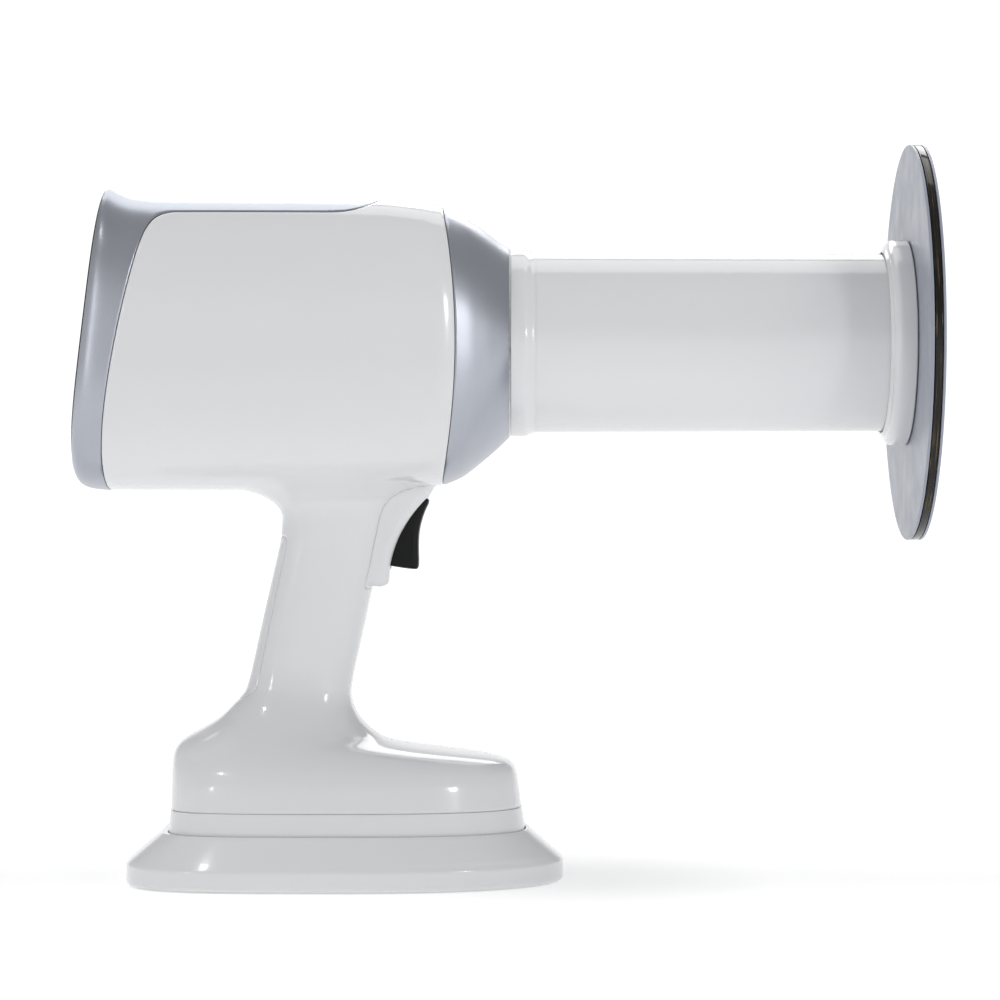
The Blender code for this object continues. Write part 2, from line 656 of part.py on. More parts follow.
cut(housing, housing_slot)
cut(housing, pin_bore)

TRIGGER_OUTLINE = (
    (0.0318, 0.1444), (0.0298, 0.1404), (0.0284, 0.1361), (0.0276, 0.1319), (0.0274, 0.1269),
    (0.0276, 0.1209), (0.0274, 0.1189), (0.0265, 0.1181), (0.0169, 0.1195), (0.0149, 0.1201),
    (0.0153, 0.1259), (0.0165, 0.1315), (0.0101, 0.1315), (0.0101, 0.1349), (0.0175, 0.1353),
    (0.0181, 0.1389), (0.0179, 0.1424), (0.0189, 0.1453), (0.0218, 0.1456), (0.0303, 0.1456))
trigger_pivot = (PIVOT[0], 0, PIVOT[1])
trigger = slab("trigger", [(u - PIVOT[0], v - PIVOT[1]) for u, v in TRIGGER_OUTLINE],
               -TRIGGER_HALF_WIDTH, TRIGGER_HALF_WIDTH, "XZ", BLACK, 0.0006)
trigger.location = trigger_pivot
cut(trigger, pin_bore)
rod("trigger_pin", PIN_RADIUS, (PIVOT[0], -0.0110, PIVOT[1]), (PIVOT[0], 0.0110, PIVOT[1]),
    STEEL, 16)

bracket = box("micro_switch", (-0.0080, -0.0032, 0.1282), (0.0058, 0.0032, 0.1388), BLACK)
mount_plate = box("switch_mount_plate", (-0.0010, -0.0066, 0.1180), (0.0010, 0.0066, 0.1420))
plunger_well = rod("plunger_well", 0.0014, (0.0020, 0, PLUNGER_Z), (0.0080, 0, PLUNGER_Z),
                   sides=16)
cut(bracket, mount_plate, "UNION")
cut(bracket, plunger_well)
rod("switch_plunger", 0.0011, (0.0042, 0, PLUNGER_Z), (0.0095, 0, PLUNGER_Z), BLACK, 16)


def trigger_spring():
    """Compression coil between the switch plate and the back of the trigger."""
    curve = bpy.data.curves.new("trigger_spring", "CURVE")
    curve.dimensions = "3D"
    curve.bevel_depth = SPRING_WIRE
    curve.bevel_resolution = 1
    curve.use_fill_caps = True
    count = SPRING_POINTS * SPRING_TURNS + 1
    spline = curve.splines.new("POLY")
    spline.points.add(count - 1)
    rear = SPRING_REAR + SPRING_WIRE
    run = SPRING_FRONT - SPRING_REAR - 2 * SPRING_WIRE
    for k, point in enumerate(spline.points):
        turn = 2 * math.pi * k / SPRING_POINTS
        along = rear + run * k / (count - 1)
        point.co = (along, SPRING_RADIUS * math.cos(turn), SPRING_RADIUS * math.sin(turn), 1)
    made = bpy.data.objects.new("trigger_spring", curve)
    made.location = (0, 0, SPRING_Z)
    curve.materials.append(STEEL)
    PARTS.objects.link(made)


trigger_spring()


# ---------------------------------------------------------------- foot: cells and base

for number, x in enumerate(CELL_X, 1):
    rod(f"battery_cell_{number}", CELL_RADIUS, (x, -CELL_LENGTH / 2, CELL_Z),
        (x, CELL_LENGTH / 2, CELL_Z), CELL, 24)
box("battery_board", (-0.042, -0.026, 0.0336), (0.014, 0.026, 0.0350), BOARD)

base_top = SHELL_FOOT_Z - GAP
base = level_solid("foot_base", BASE_STATIONS, 0.0103, base_top, 0.0, WHITE)
base_hollow = level_solid("base_hollow", BASE_STATIONS, BASE_FLOOR, base_top + 0.004, WALL)
cut(base, base_hollow)
for number, (x, y) in enumerate(BASE_SCREWS, 1):
    post = rod(f"base_post_{number}", BASE_BOSS, (x, y, BASE_FLOOR - 0.001),
               (x, y, base_top - 0.0002), sides=16)
    cut(base, post, "UNION")
    bore = rod(f"base_bore_{number}", SCREW_RADIUS + GAP, (x, y, 0.0), (x, y, 0.040), sides=12)
    cut(base, bore)
    sink = rod(f"base_sink_{number}", SCREW_HEAD - 0.0005, (x, y, 0.0), (x, y, 0.0122),
               sides=12)
    cut(base, sink)
for number, x in enumerate(CONTACT_X, 1):
    hole = box(f"contact_hole_{number}", (x - 0.0045, -0.0045, 0.0), (x + 0.0045, 0.0045, 0.020))
    cut(base, hole)
    box(f"charge_contact_{number}", (x - 0.0042, -0.0042, 0.0106), (x + 0.0042, 0.0042, 0.0122),
        BRASS)


def screw(name, foot, direction, length, head=SCREW_HEAD):
    """A pan-head screw with a cross recess left out; direction points from head to tip."""
    profile = ((length, 0.0), (length - 0.0012, SCREW_RADIUS), (0.0016, SCREW_RADIUS),
               (0.0016, head), (0.0004, head), (0.0, head - 0.0005), (0.0, 0.0))
    made = turned(name, profile, STEEL, SCREW_STEPS, foot, closed=False)
    made.rotation_euler = {"+Z": (0, 0, 0), "-Y": (math.pi / 2, 0, 0)}[direction]
    return made


for number, (x, z) in enumerate(SHELL_SCREWS, 1):
    screw(f"shell_screw_{number}", (x, 0.0100, z), "-Y", 0.0180)
for number, (x, y) in enumerate(BASE_SCREWS, 1):
    screw(f"base_screw_{number}", (x, y, 0.0104), "+Z", 0.0250, SCREW_HEAD - 0.0008)


# ---------------------------------------------------------------- shield on the tube

turned("shield_hub", (
    (SHIELD_FRONT, SPIGOT_RADIUS), (SHIELD_REAR - GAP, SPIGOT_RADIUS),
    (SHIELD_REAR - GAP, HUB_RADIUS - 0.0003), (0.2118, HUB_RADIUS), (0.2068, 0.0384),
    (0.2051, 0.0378), (0.2039, 0.0369), (HUB_START, 0.0357), (HUB_START, HUB_BORE),
    (SHIELD_RING_X, HUB_BORE), (SHIELD_RING_X, 0.0360),
    (SHIELD_RING_X + SHIELD_RING_WIDTH, 0.0360), (SHIELD_RING_X + SHIELD_RING_WIDTH, HUB_BORE),
    (SHIELD_FRONT, HUB_BORE)), WHITE)
turned("friction_ring", washer(SHIELD_RING_X + GAP, SHIELD_RING_X + SHIELD_RING_WIDTH - GAP,
                               0.0357, 0.0343), RUBBER)
PLATE_BORE = SPIGOT_RADIUS + GAP
turned("shield_rear_plate", washer(SHIELD_REAR, SHIELD_REAR + SHIELD_SKIN, SHIELD_RADIUS,
                                   PLATE_BORE), GREY, SHIELD_STEPS)
turned("shield_core", washer(SHIELD_REAR + SHIELD_SKIN + GAP, SHIELD_FRONT - SHIELD_SKIN - GAP,
                             SHIELD_RADIUS, PLATE_BORE), LEAD_ACRYLIC, SHIELD_STEPS)
turned("shield_front_plate", washer(SHIELD_FRONT - SHIELD_SKIN, SHIELD_FRONT, SHIELD_RADIUS,
                                    PLATE_BORE), GREY, SHIELD_STEPS)


# ---------------------------------------------------------------- charging cradle

cradle = level_solid("cradle_shell", CRADLE_STATIONS, 0.0008, 0.0202, 0.0, WHITE)
well = level_solid("cradle_well", BASE_STATIONS, WELL_FLOOR, 0.0260, -0.0007)
cavity = level_solid("cradle_cavity", CRADLE_STATIONS, -0.004, CRADLE_PLATE_TOP + GAP, 0.0022)
chamber = level_solid("cradle_chamber", CRADLE_STATIONS, 0.0010, CRADLE_CEILING, 0.0060)
cut(cradle, well)
cut(cradle, cavity)
cut(cradle, chamber)
inlet_slot = box("inlet_slot", (-0.0052, 0.0300, 0.0014), (0.0052, 0.0600, 0.0064))
cut(cradle, inlet_slot)
plate = level_solid("cradle_base_plate", CRADLE_STATIONS,
                    CRADLE_PLATE_TOP - CRADLE_PLATE_THICKNESS, CRADLE_PLATE_TOP, 0.0026, STEEL)
inlet_notch = box("inlet_notch", (-0.0056, 0.0300, 0.0), (0.0056, 0.0600, 0.0064))
cut(plate, inlet_notch)
box("cradle_pad", (-PAD_SIZE[0] / 2, -PAD_SIZE[1] / 2, 0.0),
    (PAD_SIZE[0] / 2, PAD_SIZE[1] / 2, PAD_THICKNESS), RUBBER)
inlet = box("power_inlet", (-0.0048, 0.0380, 0.0019), (0.0048, 0.0473, 0.0060), BLACK)
inlet_mouth = box("inlet_mouth", (-0.0042, 0.0400, 0.0025), (0.0042, 0.0500, 0.0054))
inlet_tongue = box("inlet_tongue", (-0.0034, 0.0390, 0.0036), (0.0034, 0.0465, 0.0043))
cut(inlet, inlet_mouth)
cut(inlet, inlet_tongue, "UNION")
box("charging_board", (-0.030, -0.020, 0.0042), (0.030, 0.020, 0.0052), BOARD)
for number, x in enumerate(CONTACT_X, 1):
    hole = rod(f"pin_hole_{number}", CONTACT_RADIUS + GAP, (x, 0, 0.0060), (x, 0, 0.0120),
               sides=16)
    cut(cradle, hole)
    rod(f"contact_pin_{number}", CONTACT_RADIUS, (x, 0, 0.0055), (x, 0, 0.0102), BRASS, 16)
light_hole = rod("light_hole", 0.0018, (-0.0640, 0, 0.0042), (-0.0840, 0, 0.0242), sides=16)
cut(cradle, light_hole)
rod("status_light", 0.0015, (-0.0717, 0, 0.0119), (-0.0745, 0, 0.0147), LIGHT, 16)
for number, (x, y) in enumerate(CRADLE_SCREWS, 1):
    post = rod(f"cradle_post_{number}", BASE_BOSS, (x, y, CRADLE_PLATE_TOP + GAP),
               (x, y, CRADLE_CEILING + 0.001), sides=16)
    cut(cradle, post, "UNION")
    hole = rod(f"cradle_hole_{number}", SCREW_RADIUS + GAP, (x, y, -0.001), (x, y, 0.0085),
               sides=12)
    cut(cradle, hole)
    cut(plate, hole)
    screw(f"cradle_screw_{number}", (x, y, 0.0001), "+Z", 0.0072)
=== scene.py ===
"""Looks of the hand-held dental X-ray unit in its charging cradle, built round the CAD frame.

Metres, +Z up, +X along the beam. The moulded outer skin of head, grip and foot is one smooth
field, meshed once and divided along the seams into its separate mouldings. Turned and level
pieces repeat the CAD sections at a fine step, so every piece stays on its CAD shape.
"""

import json
import math

import bmesh
import bpy
import numpy as np
from mathutils import Matrix, Vector


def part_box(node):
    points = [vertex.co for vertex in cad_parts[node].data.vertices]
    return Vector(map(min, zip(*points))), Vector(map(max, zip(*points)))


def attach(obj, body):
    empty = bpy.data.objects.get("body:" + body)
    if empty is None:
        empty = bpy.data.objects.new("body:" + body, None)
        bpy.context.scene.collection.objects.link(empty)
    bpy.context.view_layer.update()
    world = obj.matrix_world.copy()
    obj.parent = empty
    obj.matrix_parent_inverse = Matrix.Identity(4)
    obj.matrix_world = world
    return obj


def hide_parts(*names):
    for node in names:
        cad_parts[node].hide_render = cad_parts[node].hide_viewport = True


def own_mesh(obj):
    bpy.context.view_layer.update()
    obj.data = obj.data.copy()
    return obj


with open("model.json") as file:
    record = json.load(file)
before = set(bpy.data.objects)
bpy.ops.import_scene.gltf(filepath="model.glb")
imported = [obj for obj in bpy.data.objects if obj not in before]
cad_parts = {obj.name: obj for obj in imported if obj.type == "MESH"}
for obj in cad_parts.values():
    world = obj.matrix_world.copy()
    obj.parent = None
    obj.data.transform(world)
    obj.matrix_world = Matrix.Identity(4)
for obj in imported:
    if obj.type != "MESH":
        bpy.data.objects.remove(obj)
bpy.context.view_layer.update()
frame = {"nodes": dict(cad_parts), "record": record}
NODES = frame["nodes"]
BOX = {name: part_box(name) for name in NODES}

GAP = 0.0003
FINE_GAP = 0.00005     # between mouldings that close up tight
WALL = 0.0016          # depth of a moulding's edge, as far as it can be seen
EDGE = 0.0004          # rounding along a seam
SKIN_STEP = 0.0011     # mesh size of the body skin
FINE_STEP = 0.0004     # mesh size of the trigger
TINY = 0.00001         # step for slopes of a field
ROUND_STEPS = 160      # points round a turned or level piece

AXIS_Z = (BOX["beam_tube"][0].z + BOX["beam_tube"][1].z) / 2
HEAD_FRONT = BOX["front_cone"][1].x
FOOT_Z = BOX["right_body_shell"][0].z

# Head sections: x at the beam axis, lean, bow, top, bottom, half width, squareness
HEAD_STATIONS = (
    (-0.0962, 0.120, 0.0000, 0.2630, 0.1575, 0.0448, 3.4),
    (-0.0950, 0.120, 0.0000, 0.2642, 0.1530, 0.0460, 3.4),
    (-0.0927, 0.120, 0.0000, 0.2633, 0.1502, 0.0470, 3.4),
    (-0.0892, 0.118, 0.0000, 0.2614, 0.1489, 0.0476, 3.4),
    (-0.0842, 0.110, 0.0000, 0.2598, 0.1484, 0.0480, 3.4),
    (-0.0755, 0.100, 0.0000, 0.2589, 0.1482, 0.0482, 3.4),
    (-0.0450, 0.050, 0.0000, 0.2587, 0.1482, 0.0485, 3.4),
    (-0.0050, 0.000, -0.0020, 0.2584, 0.1482, 0.0488, 3.4),
    (0.0200, 0.000, -0.0040, 0.2579, 0.1486, 0.0486, 3.4),
    (0.0350, 0.000, -0.0049, 0.2564, 0.1496, 0.0482, 3.3),
    (0.0385, 0.000, -0.0051, 0.2560, 0.1498, 0.0474, 3.2),
    (0.0418, 0.000, -0.0053, 0.2557, 0.1500, 0.0460, 3.2),
    (0.0480, 0.000, -0.0038, 0.2521, 0.1532, 0.0435, 2.9),
    (0.0540, 0.000, -0.0024, 0.2474, 0.1590, 0.0406, 2.5),
    (0.0590, 0.000, -0.0010, 0.2426, 0.1645, 0.0378, 2.2),
    (0.0622, 0.000, 0.0000, 0.2401, 0.1687, 0.0357, 2.0),
)
HEAD_REAR = HEAD_STATIONS[0][0]
HEAD_FOOT = 0.1400      # below this height there is no head
FRONT_SEAM = 0.0418
PANEL_TILT = math.atan(HEAD_STATIONS[0][1])
BEZEL_START = 0.0007

# Grip and foot sections: height, rear, front, half width, squareness rear and front
GRIP_STATIONS = (
    (0.1540, -0.0420, 0.0270, 0.0300, 2.8, 2.8),
    (0.1483, -0.0335, 0.0205, 0.0230, 2.9, 2.9),
    (0.1455, -0.0291, 0.0182, 0.0200, 3.0, 3.0),
    (0.1415, -0.0253, 0.0166, 0.0181, 3.0, 3.0),
    (0.1380, -0.0243, 0.0157, 0.0172, 3.0, 3.0),
    (0.1290, -0.0250, 0.0139, 0.0170, 3.0, 3.0),
    (0.1030, -0.0310, 0.0082, 0.0170, 3.0, 3.0),
    (0.0790, -0.0363, 0.0028, 0.0170, 2.9, 2.9),
    (0.0720, -0.0383, 0.0016, 0.0176, 2.8, 2.8),
    (0.0670, -0.0430, 0.0024, 0.0190, 2.7, 2.7),
    (0.0620, -0.0480, 0.0048, 0.0214, 2.5, 2.6),
    (0.0580, -0.0550, 0.0087, 0.0236, 2.6, 2.6),
    (0.0552, -0.0605, 0.0122, 0.0256, 2.9, 2.6),
    (0.0528, -0.0634, 0.0170, 0.0276, 3.3, 2.6),
    (0.0505, -0.0646, 0.0360, 0.0302, 3.7, 2.6),
    (0.0482, -0.0650, 0.0548, 0.0322, 4.0, 2.6),
    (0.0462, -0.0651, 0.0614, 0.0338, 4.2, 2.6),
    (0.0432, -0.0652, 0.0641, 0.0358, 4.3, 2.6),
    (0.0385, -0.0652, 0.0651, 0.0376, 4.4, 2.6),
    (0.0286, -0.0654, 0.0664, 0.0388, 4.4, 2.6),
)
GRIP_TOP = 0.170
BASE_STATIONS = (
    (0.0283, -0.0657, 0.0667, 0.0391, 4.4, 2.6),
    (0.0200, -0.0664, 0.0679, 0.0398, 4.4, 2.6),
    (0.0130, -0.0658, 0.0672, 0.0391, 4.4, 2.6),
    (0.0103, -0.0644, 0.0658, 0.0377, 4.4, 2.6),
)
CRADLE_STATIONS = (
    (0.0202, -0.0690, 0.0694, 0.0410, 4.3, 2.6),
    (0.0196, -0.0697, 0.0701, 0.0415, 4.3, 2.6),
    (0.0110, -0.0799, 0.0799, 0.0463, 3.8, 2.3),
    (0.0092, -0.0819, 0.0819, 0.0473, 3.7, 2.2),
    (0.0083, -0.0824, 0.0824, 0.0478, 3.7, 2.2),
    (0.0078, -0.0824, 0.0824, 0.0480, 3.7, 2.2),
    (0.0014, -0.0824, 0.0824, 0.0480, 3.7, 2.2),
    (0.0008, -0.0818, 0.0818, 0.0475, 3.7, 2.2),
)

# Rear seam between silver bezel and white shells, and the bezel's tongue on top
SEAM_FOOT = (-0.0887, 0.158)
SEAM_RISE = 0.080
SEAM_SWEEP = 0.0140
SEAM_POWER = 1.6
SEAM_CORNER = 0.010
TONGUE_HALF_WIDTH = 0.0365
TONGUE_TIP = 0.0160
TONGUE_NOSE = 0.0245
TONGUE_FOOT_Z = 0.2280

STRAP_OUTLINE = ((-0.060, 0.1308), (-0.0232, 0.1308), (-0.0220, 0.1292), (-0.0300, 0.0914),
                 (-0.0334, 0.0737), (-0.0366, 0.0712), (-0.0410, 0.0690), (-0.060, 0.0690))
HOUSING_OUTLINE = (
    (0.0030, 0.1200), (0.0070, 0.1150), (0.0086, 0.1126), (0.0108, 0.1118), (0.0140, 0.1118),
    (0.0160, 0.1127), (0.0166, 0.1148), (0.0168, 0.1204), (0.0186, 0.1270), (0.0211, 0.1327),
    (0.0248, 0.1386), (0.0291, 0.1438), (0.0321, 0.1466), (0.0333, 0.1492), (0.0359, 0.1538),
    (0.0030, 0.1538))
TRIGGER_OUTLINE = (
    (0.0318, 0.1444), (0.0298, 0.1404), (0.0284, 0.1361), (0.0276, 0.1319), (0.0274, 0.1269),
    (0.0276, 0.1209), (0.0274, 0.1189), (0.0265, 0.1181), (0.0169, 0.1195), (0.0149, 0.1201),
    (0.0153, 0.1259), (0.0165, 0.1315), (0.0101, 0.1315), (0.0101, 0.1349), (0.0175, 0.1353),
    (0.0181, 0.1389), (0.0179, 0.1424), (0.0189, 0.1453), (0.0218, 0.1456), (0.0303, 0.1456))
HOUSING_PATCH = ((0.0074, 0.1112), (0.0100, 0.1230), (0.0128, 0.1400), (0.0150, 0.1500),
                 (0.0450, 0.1500), (0.0450, 0.1112))
HOUSING_SEAM_Y = 0.0123
HOUSING_HALF_WIDTH = 0.0120
TRIGGER_HALF_WIDTH = 0.0066
SLOT_HALF_WIDTH = 0.0070
SLOT_Z = (0.1185, 0.1458)
SCREW_WELL = 0.0029      # radius

# Fillets of the body: head to grip, housing to both, and the edges of housing and trigger
GRIP_FILLET = 0.0070
HOUSING_FILLET = 0.0009
HOUSING_ROUND = 0.0040
TRIGGER_ROUND = 0.0026

# Room that the meshed fields stand in
SKIN_ROOM = ((-0.106, -0.052, FOOT_Z - 0.004), (0.071, 0.052, 0.268))
TRIGGER_ROOM = ((0.009, -0.0080, 0.117), (0.033, 0.0080, 0.147))

SHARP = 38             # degrees; an edge sharper than this is shaded as an edge


# ---------------------------------------------------------------- materials

def shader_nodes(name, colour, roughness, metallic=0.0):
    """A Principled material; returns it with its node tree and shader."""
    made = bpy.data.materials.new(name)
    made.use_nodes = True
    shader = made.node_tree.nodes["Principled BSDF"]
    shader.inputs["Base Color"].default_value = (*colour, 1.0)
    shader.inputs["Roughness"].default_value = roughness
    shader.inputs["Metallic"].default_value = metallic
    return made, made.node_tree, shader


def noise(tree, scale, detail=3.0, stretch=(1, 1, 1)):
    """Object-space noise with a given number of features to the metre."""
    place = tree.nodes.new("ShaderNodeTexCoord")
    mapping = tree.nodes.new("ShaderNodeMapping")
    mapping.inputs["Scale"].default_value = stretch
    texture = tree.nodes.new("ShaderNodeTexNoise")
    texture.inputs["Scale"].default_value = scale
    texture.inputs["Detail"].default_value = detail
    tree.links.new(place.outputs["Object"], mapping.inputs["Vector"])
    tree.links.new(mapping.outputs["Vector"], texture.inputs["Vector"])
    return texture.outputs["Fac"]


def spread(tree, value, low, high):
    """A noise value mapped to a range."""
    node = tree.nodes.new("ShaderNodeMapRange")
    node.inputs["From Min"].default_value = 0.3
    node.inputs["From Max"].default_value = 0.7
    node.inputs["To Min"].default_value = low
    node.inputs["To Max"].default_value = high
    tree.links.new(value, node.inputs["Value"])
    return node.outputs["Result"]


def mixed_colour(tree, value, first, second):
    """A colour between two, chosen by a noise value."""
    node = tree.nodes.new("ShaderNodeMix")
    node.data_type = "RGBA"
    node.inputs[6].default_value = (*first, 1.0)
    node.inputs[7].default_value = (*second, 1.0)
    tree.links.new(value, node.inputs[0])
    return node.outputs[2]


def bump(tree, shader, height, distance, strength=1.0):
    """Surface relief from a height value; distance is its depth in metres."""
    node = tree.nodes.new("ShaderNodeBump")
    node.inputs["Strength"].default_value = strength
    node.inputs["Distance"].default_value = distance
    tree.links.new(height, node.inputs["Height"])
    tree.links.new(node.outputs["Normal"], shader.inputs["Normal"])


def moulded(name, colour, roughness, grain, depth, coat=0.0, metallic=0.0, drift=0.03,
            specular=0.5):
    """Moulded plastic, rubber or paint: slight drift of tone and gloss, and a fine grain."""
    made, tree, shader = shader_nodes(name, colour, roughness, metallic)
    darker = tuple(c * (1 - drift) for c in colour)
    lighter = tuple(min(1.0, c * (1 + drift)) for c in colour)
    broad = noise(tree, 24, 2)
    tree.links.new(mixed_colour(tree, broad, darker, lighter), shader.inputs["Base Color"])
    patch = noise(tree, 90, 4)
    tree.links.new(spread(tree, patch, roughness * 0.85, min(1.0, roughness * 1.2)),
                   shader.inputs["Roughness"])
    bump(tree, shader, noise(tree, grain, 2), depth)
    shader.inputs["Specular IOR Level"].default_value = specular
    shader.inputs["Coat Weight"].default_value = coat
    shader.inputs["Coat Roughness"].default_value = 0.04
    return made


def metal_flake():
    """Silver paint: a satin metallic base with fine flakes."""
    made, tree, shader = shader_nodes("silver_metallic_paint", (0.41, 0.43, 0.48), 0.34, 0.88)
    cells = tree.nodes.new("ShaderNodeTexVoronoi")
    cells.inputs["Scale"].default_value = 5200
    place = tree.nodes.new("ShaderNodeTexCoord")
    tree.links.new(place.outputs["Object"], cells.inputs["Vector"])
    tone = mixed_colour(tree, cells.outputs["Distance"], (0.38, 0.40, 0.445), (0.44, 0.46, 0.51))
    tree.links.new(tone, shader.inputs["Base Color"])
    tree.links.new(spread(tree, noise(tree, 120, 4), 0.29, 0.33), shader.inputs["Roughness"])
    bump(tree, shader, cells.outputs["Distance"], 0.00001, 0.35)
    return made


def glassy(name, colour, roughness, transmission, ior):
    """Clear or tinted glass or acrylic, with faint internal streaks in its colour."""
    made, tree, shader = shader_nodes(name, colour, roughness)
    shader.inputs["Transmission Weight"].default_value = transmission
    shader.inputs["IOR"].default_value = ior
    streak = noise(tree, 160, 3, (4, 1, 1))
    darker = tuple(c * 0.7 for c in colour)
    tree.links.new(mixed_colour(tree, streak, darker, colour), shader.inputs["Base Color"])
    tree.links.new(spread(tree, noise(tree, 60, 3), roughness * 0.7, roughness * 1.6),
                   shader.inputs["Roughness"])
    return made


def edge_glass():
    """Dark lead acrylic: olive and gold streaks that run along the sheet, under a clear face."""
    made, tree, shader = shader_nodes("lead_acrylic", (0.02, 0.018, 0.012), 0.07)
    streaks = noise(tree, 55, 5, (60, 1, 1))
    ramp = tree.nodes.new("ShaderNodeValToRGB")
    ramp.color_ramp.elements[0].position = 0.50
    ramp.color_ramp.elements[0].color = (0.006, 0.006, 0.006, 1)
    ramp.color_ramp.elements[1].position = 0.76
    ramp.color_ramp.elements[1].color = (0.36, 0.25, 0.09, 1)
    middle = ramp.color_ramp.elements.new(0.62)
    middle.color = (0.024, 0.019, 0.011, 1)
    tree.links.new(streaks, ramp.inputs["Fac"])
    tree.links.new(ramp.outputs["Color"], shader.inputs["Base Color"])
    shader.inputs["IOR"].default_value = 1.35
    tree.links.new(spread(tree, noise(tree, 70, 3), 0.04, 0.12), shader.inputs["Roughness"])
    return made


def brushed(name, colour, roughness, stretch):
    """Metal with fine drawn lines."""
    made, tree, shader = shader_nodes(name, colour, roughness, 1.0)
    lines = noise(tree, 900, 4, stretch)
    tree.links.new(spread(tree, lines, roughness * 0.7, roughness * 1.4),
                   shader.inputs["Roughness"])
    darker = tuple(c * 0.85 for c in colour)
    tree.links.new(mixed_colour(tree, lines, darker, colour), shader.inputs["Base Color"])
    bump(tree, shader, lines, 0.000004)
    return made


WHITE = moulded("white_gloss_plastic", (0.70, 0.705, 0.72), 0.15, 700, 0.000003, coat=0.3,
                drift=0.010)
SILVER = metal_flake()
BLACK = moulded("black_plastic", (0.006, 0.0063, 0.0063), 0.34, 2600, 0.00001, specular=0.16)
PANEL = moulded("dark_panel_film", (0.014, 0.016, 0.020), 0.18, 1800, 0.000003, coat=0.1,
                specular=0.3)
KEY = moulded("key_silicone", (0.42, 0.44, 0.47), 0.5, 3000, 0.00002)
GLASS = glassy("display_glass", (0.030, 0.045, 0.060), 0.04, 0.0, 1.5)
GREY = moulded("shield_skin_grey", (0.285, 0.305, 0.36), 0.34, 1600, 0.000002, drift=0.01)
LEAD_ACRYLIC = edge_glass()
RUBBER = moulded("black_rubber", (0.025, 0.025, 0.026), 0.75, 2200, 0.00004)
LEAD = moulded("lead_sheet", (0.22, 0.22, 0.235), 0.55, 900, 0.00004, metallic=0.8)
ALUMINIUM = brushed("cast_aluminium", (0.68, 0.69, 0.70), 0.34, (1, 1, 12))
STEEL = brushed("plain_steel", (0.56, 0.57, 0.58), 0.28, (1, 8, 1))
BRASS = brushed("gold_plate", (0.78, 0.58, 0.27), 0.22, (1, 1, 6))
BOARD = moulded("circuit_board", (0.02, 0.16, 0.07), 0.4, 1400, 0.00003, drift=0.2)
CELL = moulded("cell_wrap", (0.05, 0.16, 0.38), 0.3, 1200, 0.00001)
TUBE_GLASS = glassy("tube_glass", (0.62, 0.67, 0.70), 0.05, 0.8, 1.47)
LIGHT = glassy("status_lens", (0.10, 0.55, 0.20), 0.15, 0.4, 1.45)
GLYPH = moulded("key_print", (0.05, 0.055, 0.065), 0.5, 3000, 0.000005)

BY_SLOT = {"white_plastic": WHITE, "silver_paint": SILVER, "black_plastic": BLACK,
           "dark_panel": PANEL, "key_rubber": KEY, "display_glass": GLASS, "shield_skin": GREY,
           "lead_acrylic": LEAD_ACRYLIC, "rubber": RUBBER, "lead": LEAD, "aluminium": ALUMINIUM,
           "steel": STEEL, "gold_contact": BRASS, "circuit_board": BOARD, "battery_wrap": CELL,
           "tube_glass": TUBE_GLASS, "status_light": LIGHT}
SLOT_OF = {part["node"]: part["material_slot"] for part in frame["record"]["subparts"]}
BODY_OF = {node: body for body, nodes in frame["record"]["behaviour"]["bodies"].items()
           for node in nodes}
for node, part in NODES.items():
    part.data.materials.clear()
    part.data.materials.append(BY_SLOT[SLOT_OF[node]])


# ---------------------------------------------------------------- fields

def blurred(rows, blur, step=0.0002):
    """Station rows as dense columns, softened along the key so no section shows as an edge."""
    rows = sorted(rows)
    keys = np.array([row[0] for row in rows])
    dense = np.arange(keys[0], keys[-1] + step / 2, step)
    half = int(3 * blur / step)
    kernel = np.exp(-0.5 * (np.arange(-half, half + 1) * step / blur) ** 2)
    kernel /= kernel.sum()
    columns = []
    for column in range(1, len(rows[0])):
        values = np.interp(dense, keys, [row[column] for row in rows])
        padded = np.pad(values, half, mode="reflect", reflect_type="odd")
        columns.append(np.convolve(padded, kernel, "valid"))
    return dense, columns


HEAD = blurred(HEAD_STATIONS, 0.0012)
GRIP = blurred(GRIP_STATIONS, 0.0012)
BASE = blurred(BASE_STATIONS, 0.0005)
CRADLE = blurred(CRADLE_STATIONS, 0.0004)


def read(table, key, *columns):
    """Columns of a blurred table at a key."""
    dense, values = table
    return [np.interp(key, dense, values[column]) for column in columns]


def smooth_min(a, b, reach):
    """The smaller of two fields, with a fillet of about the given reach where they meet."""
    share = np.clip(0.5 + 0.5 * (b - a) / reach, 0.0, 1.0)
    return b * (1 - share) + a * share - reach * share * (1 - share)


def smooth_max(a, b, reach):
    """The larger of two fields, with a rounding where they meet."""
    return -smooth_min(-a, -b, reach)


def head_station(x, z):
    """The station that a point of the head belongs to, allowing for lean and bow."""
    key = x
    for _ in range(6):
        lean, bow, top, bottom = read(HEAD, key, 0, 1, 2, 3)
        up = (2 * z - top - bottom) / (top - bottom)
        key = x - lean * (z - AXIS_Z) - bow * np.minimum(up * up, 1.3)
    return key


def head_field(x, y, z):
    """Signed distance from the head, negative inside, nearly true close to its surface."""
    top, bottom, half_width, power = read(HEAD, head_station(x, z), 2, 3, 4, 5)
    up = np.abs(2 * z - top - bottom) / (top - bottom)
    across = np.abs(y) / half_width
    return half_width * ((across ** power + up ** power) ** (1 / power) - 1)


def level_field(table, x, y, z):
    """The same for a shape given by level sections."""
    rear, front, half_width, power_rear, power_front = read(table, z, 0, 1, 2, 3, 4)
    along = (2 * x - rear - front) / (front - rear)
    power = np.where(along > 0, power_front, power_rear)
    across = np.abs(y) / half_width
    return half_width * ((np.abs(along) ** power + across ** power) ** (1 / power) - 1)


